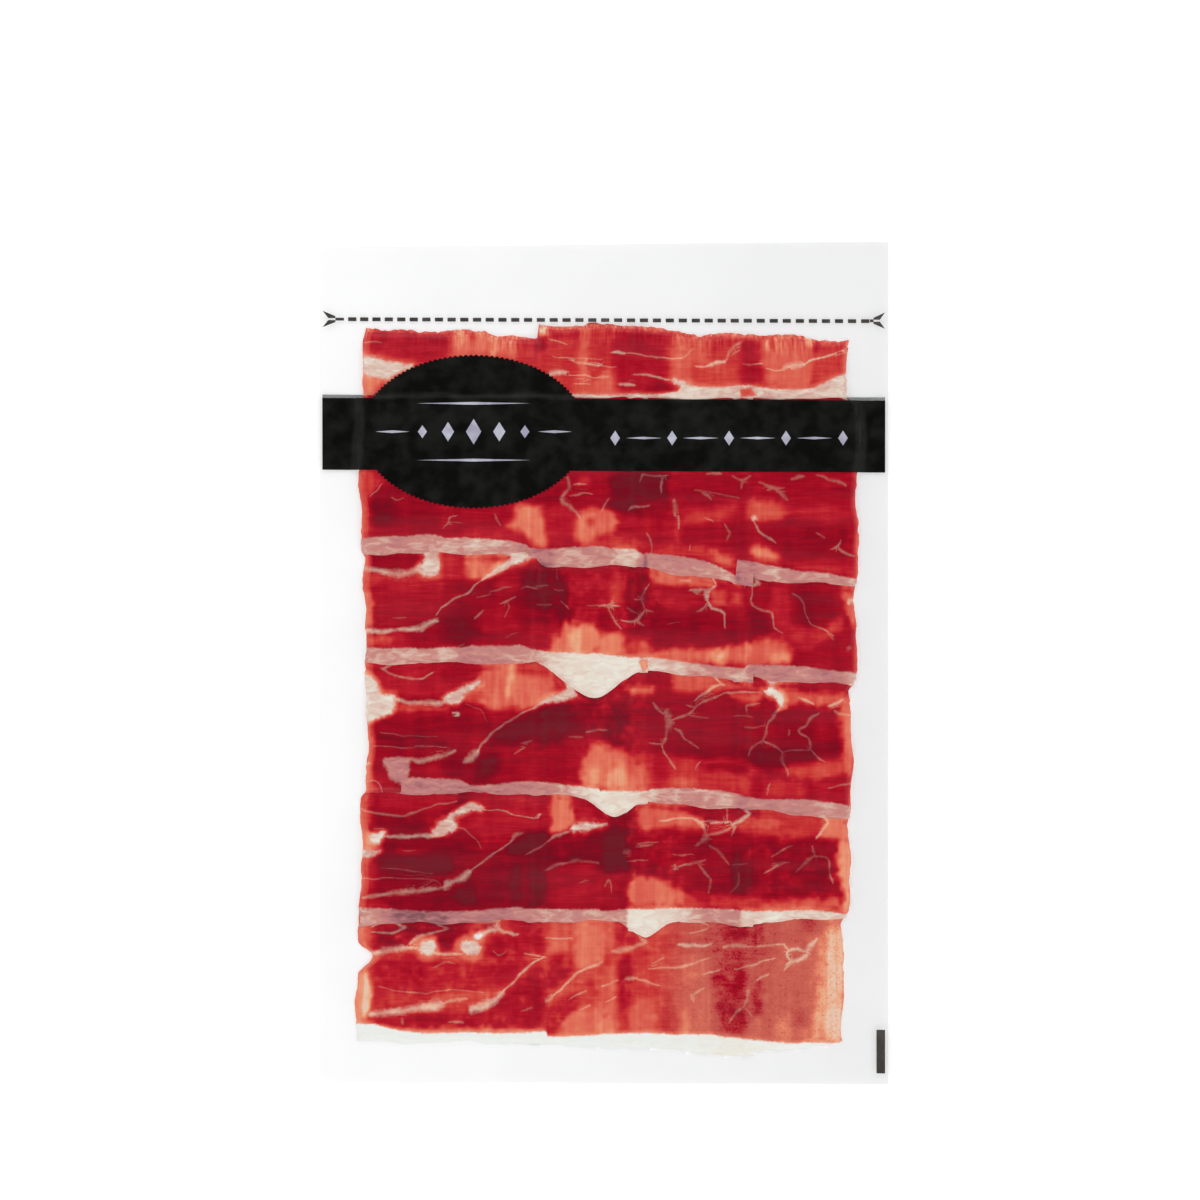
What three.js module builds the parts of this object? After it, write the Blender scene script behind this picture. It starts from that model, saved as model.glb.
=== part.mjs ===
// A vacuum pack of sliced iberian ham, lying on its back with the shown side up.
// Two clear films are sealed round six rows of thin slices. Each row lies over the top of the
// next one, like shingles on a roof, and ends in a strip of fat at its lower edge. A row is
// four slices side by side, which lap over each other at three seams.
// Millimetres, +Z up. The origin is under the middle of the pack, +X points right across it
// and +Y towards the end with the tear line.
import * as THREE from "three";

// The films
const PACK_WIDTH = 200;
const PACK_LENGTH = 296;
const FILM_PAIR = 0.4; // both films where they are sealed on each other
const TOP_CUT_SKEW = 1.6; // the top edge is cut this much lower at its left end
const BOTTOM_CUT_SKEW = 0.7; // and the bottom edge this much higher
const MARGIN_LIFT = 1.6; // how far the loose rim of the margin can curl up off the table
const CURL_WAVES = [95, 130]; // lengths of the curl's waves along X and along Y
const CLING = 1.1; // the run over which the film comes down off an edge of the ham

// The ham
const SLICE = 1.2; // thickness of one slice
const UNDERLAP = 13; // below a fat edge one slice lies alone for this length, then two
const SEAMS = [-23, 12, 49]; // where the four slices of a row meet
const SEAM_LAP = 7; // how wide they lap over each other there
const LAP_RISE = 0.45; // how much the pressed lap stands up
const BUMP_RISE = 0.12; // unevenness of the slices under the film
const BUMP_LENGTH = 70;
const EDGE_WAVER = { size: 0.7, length: 34 }; // how much, and how often, a fat edge wavers
const SIDE_WAVER = { size: 0.8, length: 38 };
const TOP_WAVER = { size: 1.1, length: 52 };

// Heights along Y of a line across the four slices: at its left end, just left and just right of
// the first seam, at the second and the third seam, and at its right end.
const TOP_EDGE = [118.5, 114.9, 119.7, 118.3, 115.4, 114.4];

// Each row, from the tear end down: where it ends along X, its fat edge, and the lump of fat that
// hangs from that edge, as its place along X, its width and how far it hangs down.
const ROWS = [
  { ends: [-84.8, 86.0], edge: [94.5, 94.0, 94.0, 94.0, 93.8, 93.5], lump: [30, 30, 1] },
  { ends: [-86.0, 89.5], edge: [38.0, 38.0, 33.5, 33.5, 28.5, 26.8], lump: [30, 30, 1] },
  { ends: [-84.4, 89.0], edge: [-0.6, -0.5, -1.5, -3.0, -6.0, -8.3], lump: [-4, 40, 10] },
  { ends: [-83.7, 87.4], edge: [-46.3, -46.4, -46.5, -49.5, -51.8, -55.6], lump: [3, 22, 5.5] },
  { ends: [-85.8, 86.7], edge: [-92.5, -91.0, -91.2, -91.5, -92.3, -89.8], lump: [14, 20, 5] },
  { ends: [-87.4, 84.5], edge: [-133.5, -134.2, -135.0, -136.0, -138.0, -134.0], lump: [44, 30, 1] },
];
const SIDE_BLEND = 4; // the run over which one row's end passes into the next one's
const NOTCH = { at: -103.5, height: 12, depth: 5.5 }; // a bite out of the last row's left end

// Lines of the grid that splits the two faces
const MARGIN_COLUMNS = 3;
const SLICE_COLUMNS = [8, 6, 6, 5];
const TEAR_MARGIN_ROWS = 5;
const ROW_LINES = 6;
const BOTTOM_MARGIN_ROWS = 2;

const HALF_WIDTH = PACK_WIDTH / 2;
const HALF_LENGTH = PACK_LENGTH / 2;
const LAST_ROW = ROWS.length - 1;

const mix = (a, b, t) => a + (b - a) * t;
const clamp = (t) => Math.min(1, Math.max(0, t));
const smooth = (t) => clamp(t) ** 2 * (3 - 2 * clamp(t));
const wave = (s, length, shift) => Math.sin((2 * Math.PI * s) / length + shift);

// Two waves that don't repeat together, so that an edge wavers without a rhythm.
function waver(s, { size, length }, shift) {
  return size * (0.65 * wave(s, length, shift) + 0.35 * wave(s, length / 2.3, 2 * shift));
}

// Evenly spaced shares from 0 to 1, both included.
function shares(steps) {
  return Array.from({ length: steps + 1 }, (_, i) => i / steps);
}

// The cut edges of the films.
function packTop(x) {
  return HALF_LENGTH - TOP_CUT_SKEW * smooth((HALF_WIDTH - x) / PACK_WIDTH);
}

function packBottom(x) {
  return -HALF_LENGTH + BOTTOM_CUT_SKEW * smooth((HALF_WIDTH - x) / PACK_WIDTH);
}

// A line across the four slices, with a step at the first seam.
function acrossSlices([leftEnd, beforeFirst, afterFirst, ...others], [left, right], x) {
  if (x < SEAMS[0]) return mix(leftEnd, beforeFirst, (x - left) / (SEAMS[0] - left));
  const places = [...SEAMS, right];
  const heights = [afterFirst, ...others];
  const n = places.findIndex((place, i) => i > 0 && x <= place);
  const to = n > 0 ? n : places.length - 1;
  return mix(heights[to - 1], heights[to], (x - places[to - 1]) / (places[to] - places[to - 1]));
}

function hamTop(x) {
  return acrossSlices(TOP_EDGE, ROWS[0].ends, x) + waver(x, TOP_WAVER, 1);
}

function fatEdge({ ends, edge, lump: [at, width, drop] }, x) {
  const hang = drop * smooth(1 - Math.abs(x - at) / (width / 2));
  return acrossSlices(edge, ends, x) - hang + waver(x, EDGE_WAVER, edge[0]);
}

// How far the rows reach on the left side, 0, or the right side, 1.
function hamSide(side, y) {
  let reach = ROWS[0].ends[side];
  for (let n = 1; n <= LAST_ROW; n += 1) {
    const edgeAbove = ROWS[n - 1].edge.at(-side);
    reach = mix(reach, ROWS[n].ends[side], smooth((edgeAbove - y) / SIDE_BLEND + 0.5));
  }
  const bite = side === 0 ? NOTCH.depth * smooth(1 - Math.abs(y - NOTCH.at) / (NOTCH.height / 2)) : 0;
  return reach + bite + waver(y, SIDE_WAVER, side);
}

// The grid lines from left to right. away is 0 on the ham and 1 on the pack's cut edge, and lap
// says that the line runs along the top of a seam's lap.
function columnLines() {
  const lines = [];
  const addHam = (steps, from, to, lap) => {
    for (const t of shares(steps)) {
      lines.push({ away: 0, ham: true, lap, at: (y) => mix(from(y), to(y), t) });
    }
  };
  const left = (y) => hamSide(0, y);
  const right = (y) => hamSide(1, y);

  for (const t of shares(MARGIN_COLUMNS)) {
    lines.push({ away: 1 - t, at: (y) => mix(-HALF_WIDTH, left(y) - CLING, t) });
  }
  SLICE_COLUMNS.forEach((steps, n) => {
    const from = n > 0 ? () => SEAMS[n - 1] + SEAM_LAP / 2 : left;
    const to = n < SEAMS.length ? () => SEAMS[n] - SEAM_LAP / 2 : right;
    addHam(steps, from, to, false);
    if (n < SEAMS.length) {
      const halfTop = SEAM_LAP / 2 - CLING;
      addHam(1, () => SEAMS[n] - halfTop, () => SEAMS[n] + halfTop, true);
    }
  });
  for (const t of shares(MARGIN_COLUMNS)) {
    lines.push({ away: t, at: (y) => mix(right(y) + CLING, HALF_WIDTH, t) });
  }
  return lines;
}

// The grid lines from the tear end down. Each row of slices starts just under the fat edge of the
// row above, and its last line is its own fat edge.
function rowLines() {
  const lines = [];
  for (const t of shares(TEAR_MARGIN_ROWS)) {
    lines.push({ away: 1 - t, at: (x) => mix(packTop(x), hamTop(x) + CLING, t) });
  }
  ROWS.forEach((row, n) => {
    const last = n === LAST_ROW;
    const start = (x) => (n ? fatEdge(ROWS[n - 1], x) - CLING : hamTop(x));
    for (const t of shares(ROW_LINES)) {
      lines.push({ away: 0, ham: true, last, start, at: (x) => mix(start(x), fatEdge(row, x), t) });
    }
  });
  for (const t of shares(BOTTOM_MARGIN_ROWS)) {
    lines.push({ away: t, at: (x) => mix(fatEdge(ROWS[LAST_ROW], x) - CLING, packBottom(x), t) });
  }
  return lines;
}

// The height of the upper film over the ham. The last row has no slice under it.
function hamHeight(column, row, x, y) {
  const under = row.last ? 0 : smooth((row.start(x) - y) / UNDERLAP);
  const lap = column.lap ? LAP_RISE : 0;
  const bumps = wave(x + y, BUMP_LENGTH, 0) + wave(x - 2 * y, 2 * BUMP_LENGTH, 0);
  return FILM_PAIR + SLICE * (1 + under) + lap + (BUMP_RISE * bumps) / 2;
}

// The rim of the margin curls up in soft waves, and the ham's underside stays flat.
function marginLift(away, x, y) {
  const [alongX, alongY] = CURL_WAVES;
  const curl = (2 + wave(x, alongX, 0.6) + wave(y, alongY, 2)) / 4;
  return MARGIN_LIFT * away ** 2 * curl;
}

// A box whose faces are split along the grid lines, with each corner put on the pack's surface.
function sealedPackGeometry() {
  const columns = columnLines();
  const rows = rowLines();
  const acrossSteps = columns.length - 1;
  const downSteps = rows.length - 1;
  const geometry = new THREE.BoxGeometry(1, 1, 1, acrossSteps, downSteps, 1);
  const corners = geometry.getAttribute("position");
  for (let i = 0; i < corners.count; i += 1) {
    const column = columns[Math.round((corners.getX(i) + 0.5) * acrossSteps)];
    const row = rows[Math.round((0.5 - corners.getY(i)) * downSteps)];
    const upperFace = corners.getZ(i) > 0;
    const x = column.at(row.at(column.at(0)));
    const y = row.at(x);
    const lift = marginLift(Math.max(column.away, row.away), x, y);
    const top = column.ham && row.ham ? hamHeight(column, row, x, y) : lift + FILM_PAIR;
    corners.setXYZ(i, x, y, upperFace ? top : lift);
  }
  geometry.computeVertexNormals();
  return geometry;
}

function sealedPack() {
  const hamUnderFilm = new THREE.MeshStandardMaterial({
    color: 0xa5262c,
    roughness: 0.25,
    metalness: 0,
  });
  const mesh = new THREE.Mesh(sealedPackGeometry(), hamUnderFilm);
  mesh.name = "sealed_pack";
  return mesh;
}

const pack = new THREE.Group();
pack.name = "ham_pack";
pack.add(sealedPack());

export default pack;
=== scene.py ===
# A vacuum pack of sliced iberian ham, lying with its shown side up. Six rows of thin slices lie
# like shingles between two clear films, with a printed band and an oval badge on the upper one.
# Places and sizes are in millimetres in the pack's own frame, and MM turns them into metres.
import math

import bmesh
import bpy
import numpy as np
from mathutils import Matrix, Vector
from mathutils.bvhtree import BVHTree


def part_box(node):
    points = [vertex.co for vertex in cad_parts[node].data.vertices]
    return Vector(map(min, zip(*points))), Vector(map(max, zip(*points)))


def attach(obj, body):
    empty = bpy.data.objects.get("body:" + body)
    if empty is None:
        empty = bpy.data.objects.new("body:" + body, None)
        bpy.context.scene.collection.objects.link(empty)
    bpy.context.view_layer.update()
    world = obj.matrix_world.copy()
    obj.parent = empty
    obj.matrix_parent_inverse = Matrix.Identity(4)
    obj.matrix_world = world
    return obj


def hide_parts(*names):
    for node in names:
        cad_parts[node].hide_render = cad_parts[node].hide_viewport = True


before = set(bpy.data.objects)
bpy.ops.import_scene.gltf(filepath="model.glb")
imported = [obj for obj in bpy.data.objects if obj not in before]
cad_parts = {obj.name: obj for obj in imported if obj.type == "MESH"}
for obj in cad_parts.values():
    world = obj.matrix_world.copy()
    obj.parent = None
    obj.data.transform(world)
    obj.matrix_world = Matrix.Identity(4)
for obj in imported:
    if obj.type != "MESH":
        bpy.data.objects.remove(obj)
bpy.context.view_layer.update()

MM = 0.001
HALF_WIDTH, HALF_LENGTH = (float(high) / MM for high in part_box("sealed_pack")[1][:2])

# The films, as the solid pack has them
TOP_CUT_SKEW = 1.6  # the top edge is cut this much lower at its left end
BOTTOM_CUT_SKEW = 0.7  # and the bottom edge this much higher
CLING = 1.1  # the run over which the film comes down off an edge of the ham
FILM_CELLS = (160, 236)  # cells of the film, about 1.25 mm wide
PLEAT_HEIGHT = 0.34
PLEAT_SPACING = (3.2, 3.8)  # of the pleats beside the ham, and of those beyond its two ends
PLEAT_STRETCH = 9  # a pleat is this much longer than it is wide
PLEAT_REACH = 7  # how far from the ham it has mostly died away
FLAT_RIM = 5  # width along the cut edges where the pleats fade to nothing
EASING_PASSES = 4  # how many times the shoulders of a lap in the film are evened out

# The ham, as the solid pack has it but for what the comments say
FILM_PAIR = 0.4  # both films
SLICE = 1.2
UNDERLAP = 13  # below a fat edge one slice lies alone for this length, then two
LAP_RISE = 0.45  # how much the pressed lap of two slices stands up
LAP_RAMP = 3.5  # the run over which it rises, softer than in the solid
BUMP_RISE = 0.12  # unevenness of the slices under the film
BUMP_LENGTH = 70
SEAMS = (-23, 12, 49)  # where the four slices of a row meet
SEAM_LAP = 7  # how wide they lap over each other there
LAP_SLICE = 0.8  # each of the two slices is pressed this thin in the lap
DIVE_RUN = 2.4  # the run over which the one dives under the other
OVER_END = 0.6  # the run over which the other thins as the lap starts
LAP_DIP = (0.14, 2.4)  # how much the upper slice's end dips in the lap, and over what run
UNDER_FILM = 0.08  # from the outside of the upper film down to the ham
OVER_BACK = 0.1  # from the outside of the back film up to the ham
THIN_END = 2.0  # a slice thins out over this run at its outer edges
EDGE_THICKNESS = 0.2
GRAIN = 0.62  # spacing of the ham's mesh across the pack
SHOWN_CELLS = (30, 98, 66, 84, 80, 76)  # cells of the part of each row that shows, along the pack
CUT_ANGLE = 60  # an edge of a mesh sharper than this, in degrees, is a cut edge
TUCKED_CELLS = 14  # cells of the part of a slice that lies under the row above
TURN_OVERLAP = 2  # how far under the row above the finer cells still go
ONE_LAYER = 3.4  # width of the strip along the left side where the ham is paler
TUCK_SHORT = 3  # a tucked slice starts this far below the top of the row that covers it
EDGE_WAVER = (0.7, 34)  # how much, and how often, a fat edge wavers
SIDE_WAVER = (0.8, 38)
TOP_WAVER = (1.1, 52)
SIDE_BLEND = 4  # the run over which one row's end passes into the next one's
NOTCH = (-103.5, 12, 5.5)  # a bite out of the last row's left end: place, height, depth

# Heights along the pack of a line across the four slices: at its left end, just left and just
# right of the first seam, at the second and the third seam, and at its right end.
TOP_EDGE = (118.5, 114.9, 119.7, 118.3, 115.4, 114.4)
# Where each row ends on the left and on the right
ROW_ENDS = ((-84.8, 86.0), (-86.0, 89.5), (-84.4, 89.0), (-83.7, 87.4), (-85.8, 86.7), (-87.4, 84.5))
# The lower edge of each row. The first lies a little lower than in the solid, under the band.
FAT_EDGES = (
    (93.2, 92.4, 92.4, 92.2, 91.9, 91.6),
    (38.0, 38.0, 33.5, 33.5, 28.5, 26.8),
    (-0.6, -0.5, -1.5, -3.0, -6.0, -8.3),
    (-46.3, -46.4, -46.5, -49.5, -51.8, -55.6),
    (-92.5, -91.0, -91.2, -91.5, -92.3, -89.8),
    (-133.5, -134.2, -135.0, -136.0, -138.0, -134.0),
)
# The lump of fat that hangs from each fat edge: its place, its width and how far it hangs down
LUMPS = ((30, 30, 1), (30, 30, 1), (-4, 40, 10), (3, 22, 5.5), (14, 20, 5), (44, 30, 1))
# At the third seam the slice on the left hangs this much lower, and the one on the right higher
SEAM_STEPS = ((0, 0), (2.6, 2.2), (2.0, 0.8), (0, 0), (0, 0), (0, 0))
STEP_RUN = 16  # the run over which such a step comes and goes
LAST_ROW = len(FAT_EDGES) - 1

# The prints
INK = 0.02  # thickness of a print, drawn thicker than real ink
ON_FILM, ON_BAND, ON_BADGE = 0.03, 0.08, 0.14  # gaps from the film, so that prints lie on each other
BAND_TOP = (93.3, 92.3)  # the band's upper edge at the left and the right end
BAND_HEIGHT = 25.3
BAND_INSET = 1.0  # how far it ends from the cut edges of the film
BAND_CELLS = (160, 21)
BACK_BAND_RISE = 1.2  # the print on the back film lies this much higher than the band
OVAL = (-45.7, 81.3, 39.4, 26.8)  # centre and half axes of the badge
TEETH = 134
TOOTH = 0.35
TOOTHED = 0.1  # the teeth start within this share of the badge from its edge
RINGS = 60  # cells of the badge from its middle out
MARK_CELLS = (28, 3)  # cells of a small print with four corners
DASHES = 41
DASH = (2.9, 1.35)
TEAR_LINE_ENDS = ((-88.5, 121.0), (92.0, 120.3))
DASH_DRIFT = 1.02  # the dashes lie a little wider apart to the right
# For the barbed mark at each end of the tear line: the places across of its tip, of the foot of
# its barbs and of the end of its bar, and its place along the pack
TEAR_MARKS = ((-98.9, -94.4, -91.4, 121.0), (98.9, 94.9, 93.6, 120.4))
BAR_HALF, BARB_GAP, BARB_REACH, BARB_FOOT = 0.5, 0.35, 2.9, 0.7
EYE_MARK = (97.4, -136.6, 3.0, 15.3)  # its centre, width and height
# Diamonds and tapered rules on the badge and the band
BADGE_DIAMOND, SMALLER_BY = (5.4, 9), (1.1, 2.2)  # the middle one, and how the next ones shrink
DIAMOND_SPACING = 9
BADGE_RULES = ((-28.5, 0, 12), (28.5, 0, 12), (0, -10, 40), (0, 10, 40))  # place and length
BADGE_RULE_WIDTH = 1.0
BAND_DIAMONDS, BAND_DIAMOND = (4, 24, 44, 64, 84), (3.4, 5.2)
BAND_RULES, BAND_RULE = (14, 34, 54, 74), (12.5, 0.9)
BELOW_MIDDLE = 0.6  # they lie this much below the middle of the band


# ---- numbers ----

def mix(a, b, t):
    return a + (b - a) * t


def smooth(t):
    t = np.clip(t, 0, 1)
    return t * t * (3 - 2 * t)


def wave(s, length, shift):
    return np.sin(2 * np.pi * s / length + shift)


def waver(s, size_and_length, shift):
    """Two waves that don't repeat together, so that an edge wavers without a rhythm."""
    size, length = size_and_length
    return size * (0.65 * wave(s, length, shift) + 0.35 * wave(s, length / 2.3, 2 * shift))


def value_noise(x, y, size, seed):
    """Smooth unevenness from -1 to 1, with bumps about size millimetres apart."""
    side = 128
    lattice = np.random.default_rng(seed).uniform(-1, 1, (side, side))
    i, j = np.floor(x / size).astype(int), np.floor(y / size).astype(int)
    s, t = smooth(x / size - i), smooth(y / size - j)
    left, right, low, high = i % side, (i + 1) % side, j % side, (j + 1) % side
    near = mix(lattice[left, low], lattice[right, low], s)
    far = mix(lattice[left, high], lattice[right, high], s)
    return mix(near, far, t)


# ---- the outline of the ham ----

def from_right(x):
    """The softened share of the pack's width from its right edge to x."""
    return smooth((HALF_WIDTH - x) / (2 * HALF_WIDTH))


def pack_top(x):
    return HALF_LENGTH - TOP_CUT_SKEW * from_right(x)


def pack_bottom(x):
    return -HALF_LENGTH + BOTTOM_CUT_SKEW * from_right(x)


def to_nearest_seam(x):
    return np.min([abs(x - seam) for seam in SEAMS], axis=0)


def across_slices(heights, ends, x):
    """A line across the four slices, with a step at the first seam."""
    left_end, before_first, *others = heights
    before = mix(left_end, before_first, (x - ends[0]) / (SEAMS[0] - ends[0]))
    return np.where(x < SEAMS[0], before, np.interp(x, (*SEAMS, ends[1]), others))


def ham_top(x):
    return across_slices(TOP_EDGE, ROW_ENDS[0], x) + waver(x, TOP_WAVER, 1)


def fat_edge(row, x):
    at, width, drop = LUMPS[row]
    hang = drop * smooth(1 - abs(x - at) / (width / 2))
    line = across_slices(FAT_EDGES[row], ROW_ENDS[row], x)
    past_seam = x - SEAMS[2]
    lower, higher = SEAM_STEPS[row]
    step = np.where(past_seam < 0, -lower, higher) * smooth(1 - abs(past_seam) / STEP_RUN)
    return line - hang + step + waver(x, EDGE_WAVER, FAT_EDGES[row][0])


def row_start(row, x):
    """Where the part of a row that shows starts, just under the fat edge of the row above."""
    return fat_edge(row - 1, x) - CLING if row else ham_top(x)


def slice_top(row, x):
    """Where the slices of a row end under the row above."""
    return row_start(row - 1, x) - TUCK_SHORT if row else ham_top(x)


def pressed_level(row, x, y):
    """How high the slices of a row lie, before they thin out at their edges."""
    bumps = wave(x + y, BUMP_LENGTH, 0) + wave(x - 2 * y, 2 * BUMP_LENGTH, 0)
    on_others = smooth((row_start(row, x) - y) / UNDERLAP) if row < LAST_ROW else 0
    lap = LAP_RISE * smooth((SEAM_LAP / 2 - to_nearest_seam(x)) / LAP_RAMP)
    return FILM_PAIR + SLICE * (1 + on_others) + lap + BUMP_RISE * bumps / 2


def ham_side(side, y):
    """How far the rows reach on the left side, 0, or the right side, 1."""
    reach = ROW_ENDS[0][side]
    for row in range(1, LAST_ROW + 1):
        edge_above = FAT_EDGES[row - 1][-side]
        reach = mix(reach, ROW_ENDS[row][side], smooth((edge_above - y) / SIDE_BLEND + 0.5))
    at, height, depth = NOTCH
    bite = depth * smooth(1 - abs(y - at) / (height / 2)) if side == 0 else 0
    return reach + bite + waver(y, SIDE_WAVER, side)


# ---- meshes ----

def closed_sheets(splits):
    """Closed flat sheets side by side, each one unit wide and deep and split into cells."""
    bm = bmesh.new()
    for n, (columns, rows) in enumerate(splits):
        aside = Matrix.Translation((2 * n, 0, 0))
        bmesh.ops.create_grid(bm, x_segments=columns, y_segments=rows, size=0.5, matrix=aside)
    thicken(bm)
    return bm


def thicken(bm):
    """Gives flat faces a thickness of one unit, from height 0 to height 1."""
    bmesh.ops.solidify(bm, geom=bm.faces[:], thickness=1)
    low = min(vert.co.z for vert in bm.verts)
    bmesh.ops.translate(bm, verts=bm.verts[:], vec=(0, 0, -low))
    bmesh.ops.recalc_face_normals(bm, faces=bm.faces[:])


def new_mesh_object(name, bm, *materials):
    mesh = bpy.data.meshes.new(name)
    bm.to_mesh(mesh)
    bm.free()
    for material in materials:
        mesh.materials.append(material)
    mesh.shade_smooth()
    mesh.set_sharp_from_angle(angle=math.radians(CUT_ANGLE))
    made = bpy.data.objects.new(name, mesh)
    bpy.context.scene.collection.objects.link(made)
    return made


def new_piece(name, slot, bm, *materials):
    """A piece of the pack. Film, ham and prints together stand for the one solid pack."""
    piece = new_mesh_object(name, bm, *materials)
    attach(piece, "root")
    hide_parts("sealed_pack")
    return piece


def corners(mesh):
    """The three coordinates of a mesh's corners, each as an array."""
    flat = np.empty(len(mesh.vertices) * 3, np.float32)
    mesh.vertices.foreach_get("co", flat)
    return flat.reshape(-1, 3).astype(float).T


def put_corners(mesh, x, y, z):
    """Moves a mesh's corners to places in millimetres."""
    flat = np.stack((x, y, z), axis=1) * MM
    mesh.vertices.foreach_set("co", flat.astype(np.float32).ravel())
    mesh.update()


def mark(mesh, name, values):
    """Keeps one number for each corner, which the material reads."""
    attribute = mesh.attributes.new(name, "FLOAT", "POINT")
    attribute.data.foreach_set("value", values.astype(np.float32))


# ---- the shape of the films ----

def solid_heights(x, y):
    """The upper and the lower height of the solid pack over each place."""
    bm = bmesh.new()
    bm.from_mesh(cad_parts["sealed_pack"].data)
    bmesh.ops.remove_doubles(bm, verts=bm.verts[:], dist=0.01 * MM)
    tree = BVHTree.FromBMesh(bm)
    bm.free()
    inset = 0.9995  # the cut edge itself is too thin to be met by a line straight down
    clear_of_pack = 0.02
    found = []
    for way in (-1, 1):
        line = Vector((0, 0, way))
        spots = zip(x.ravel() * inset * MM, y.ravel() * inset * MM)
        starts = (Vector((px, py, -way * clear_of_pack)) for px, py in spots)
        hits = [tree.ray_cast(start, line)[0].z for start in starts]
        found.append(np.array(hits).reshape(x.shape) / MM)
    return found


def evened(heights):
    """Evens heights out with those of the cells to the left and the right."""
    padded = np.pad(heights, ((1, 1), (0, 0)), mode="edge")
    return (padded[:-2] + 2 * padded[1:-1] + padded[2:]) / 4


def eased_laps(heights, x):
    """Takes the shoulders off the film where two slices lap, so that they don't mirror the dome."""
    eased = heights
    for _ in range(EASING_PASSES):
        eased = evened(eased)
    return mix(heights, eased, smooth((SEAM_LAP - to_nearest_seam(x)) / 2))


def pleats(x, y):
    """Fine folds in the margin that run out from the ham's outline and die away."""
    beside = np.maximum(np.maximum(ham_side(0, y) - x, x - ham_side(1, y)), 0)
    beyond = np.maximum(np.maximum(y - ham_top(x), fat_edge(LAST_ROW, x) - y), 0)
    away = np.hypot(beside, beyond)
    share = beside / np.maximum(away, 1e-6)
    by_side, by_end = PLEAT_SPACING
    along_side = np.maximum(value_noise(y, x / PLEAT_STRETCH, by_side, 11), 0)
    along_end = np.maximum(value_noise(x, y / PLEAT_STRETCH, by_end, 12), 0)
    rim = np.minimum(HALF_WIDTH - abs(x), HALF_LENGTH - abs(y))
    fade = np.exp(-away / PLEAT_REACH) * smooth((away - 0.8) / 2) * smooth(rim / FLAT_RIM)
    return PLEAT_HEIGHT * fade * mix(along_end, along_side, share)


def film_surface():
    """The outer heights of the upper and the lower film, on a grid over the whole pack."""
    across, along = FILM_CELLS
    x = np.linspace(-HALF_WIDTH, HALF_WIDTH, across + 1)[:, None] + np.zeros(along + 1)
    y = mix(pack_bottom(x), pack_top(x), np.linspace(0, 1, along + 1))
    upper, lower = solid_heights(x, y)
    folds = pleats(x, y)
    softened = evened(evened(upper).T).T
    return eased_laps(softened, x) + folds, lower + folds


FILM_UPPER, FILM_LOWER = film_surface()


def film_height(heights, x, y):
    """The height of the film over any place, between the corners of its grid."""
    across, along = FILM_CELLS
    s = np.clip((x + HALF_WIDTH) / (2 * HALF_WIDTH), 0, 1) * across
    t = np.clip((y - pack_bottom(x)) / (pack_top(x) - pack_bottom(x)), 0, 1) * along
    i, j = np.minimum(s.astype(int), across - 1), np.minimum(t.astype(int), along - 1)
    near = mix(heights[i, j], heights[i + 1, j], s - i)
    far = mix(heights[i, j + 1], heights[i + 1, j + 1], s - i)
    return mix(near, far, t - j)


def sealed_films():
    film = new_piece(
        "sealed_films", "clear_film", closed_sheets([FILM_CELLS]), film_over_ham(), film_margin()
    )
    u, v, outside = corners(film.data)
    x = 2 * HALF_WIDTH * u
    y = mix(pack_bottom(x), pack_top(x), v + 0.5)
    upper, lower = film_height(FILM_UPPER, x, y), film_height(FILM_LOWER, x, y)
    put_corners(film.data, x, y, np.where(outside > 0.5, upper, lower))
    for face in film.data.polygons:
        face.material_index = 0 if over_ham(face.center.x / MM, face.center.y / MM) else 1


def over_ham(x, y):
    return ham_side(0, y) < x < ham_side(1, y) and fat_edge(LAST_ROW, x) < y < ham_top(x)


# ---- the drawings of the slices ----

# The slices were drawn from enlarged views of the photograph, two for each row, A on the
# left and B on the right. A view is given by the photo pixel at its upper left corner and by how
# many times it was enlarged, and its points are read across and down from that corner.
PHOTO_MIDDLE = (603.75, 663)  # the photo pixel over the middle of the pack
PHOTO_SCALE = 2.84  # photo pixels in a millimetre
A1, B1 = (340, 318, 6.03), (600, 318, 5.6)
A2, B2 = (340, 470, 6.03), (600, 470, 5.81)
A3, B3 = (340, 560, 6.03), (600, 560, 5.81)
A4, B4 = (340, 680, 6.03), (600, 680, 5.81)
A5, B5 = (340, 790, 6.03), (600, 790, 5.81)
A6, B6 = (340, 905, 6.03), (600, 905, 5.81)
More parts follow.
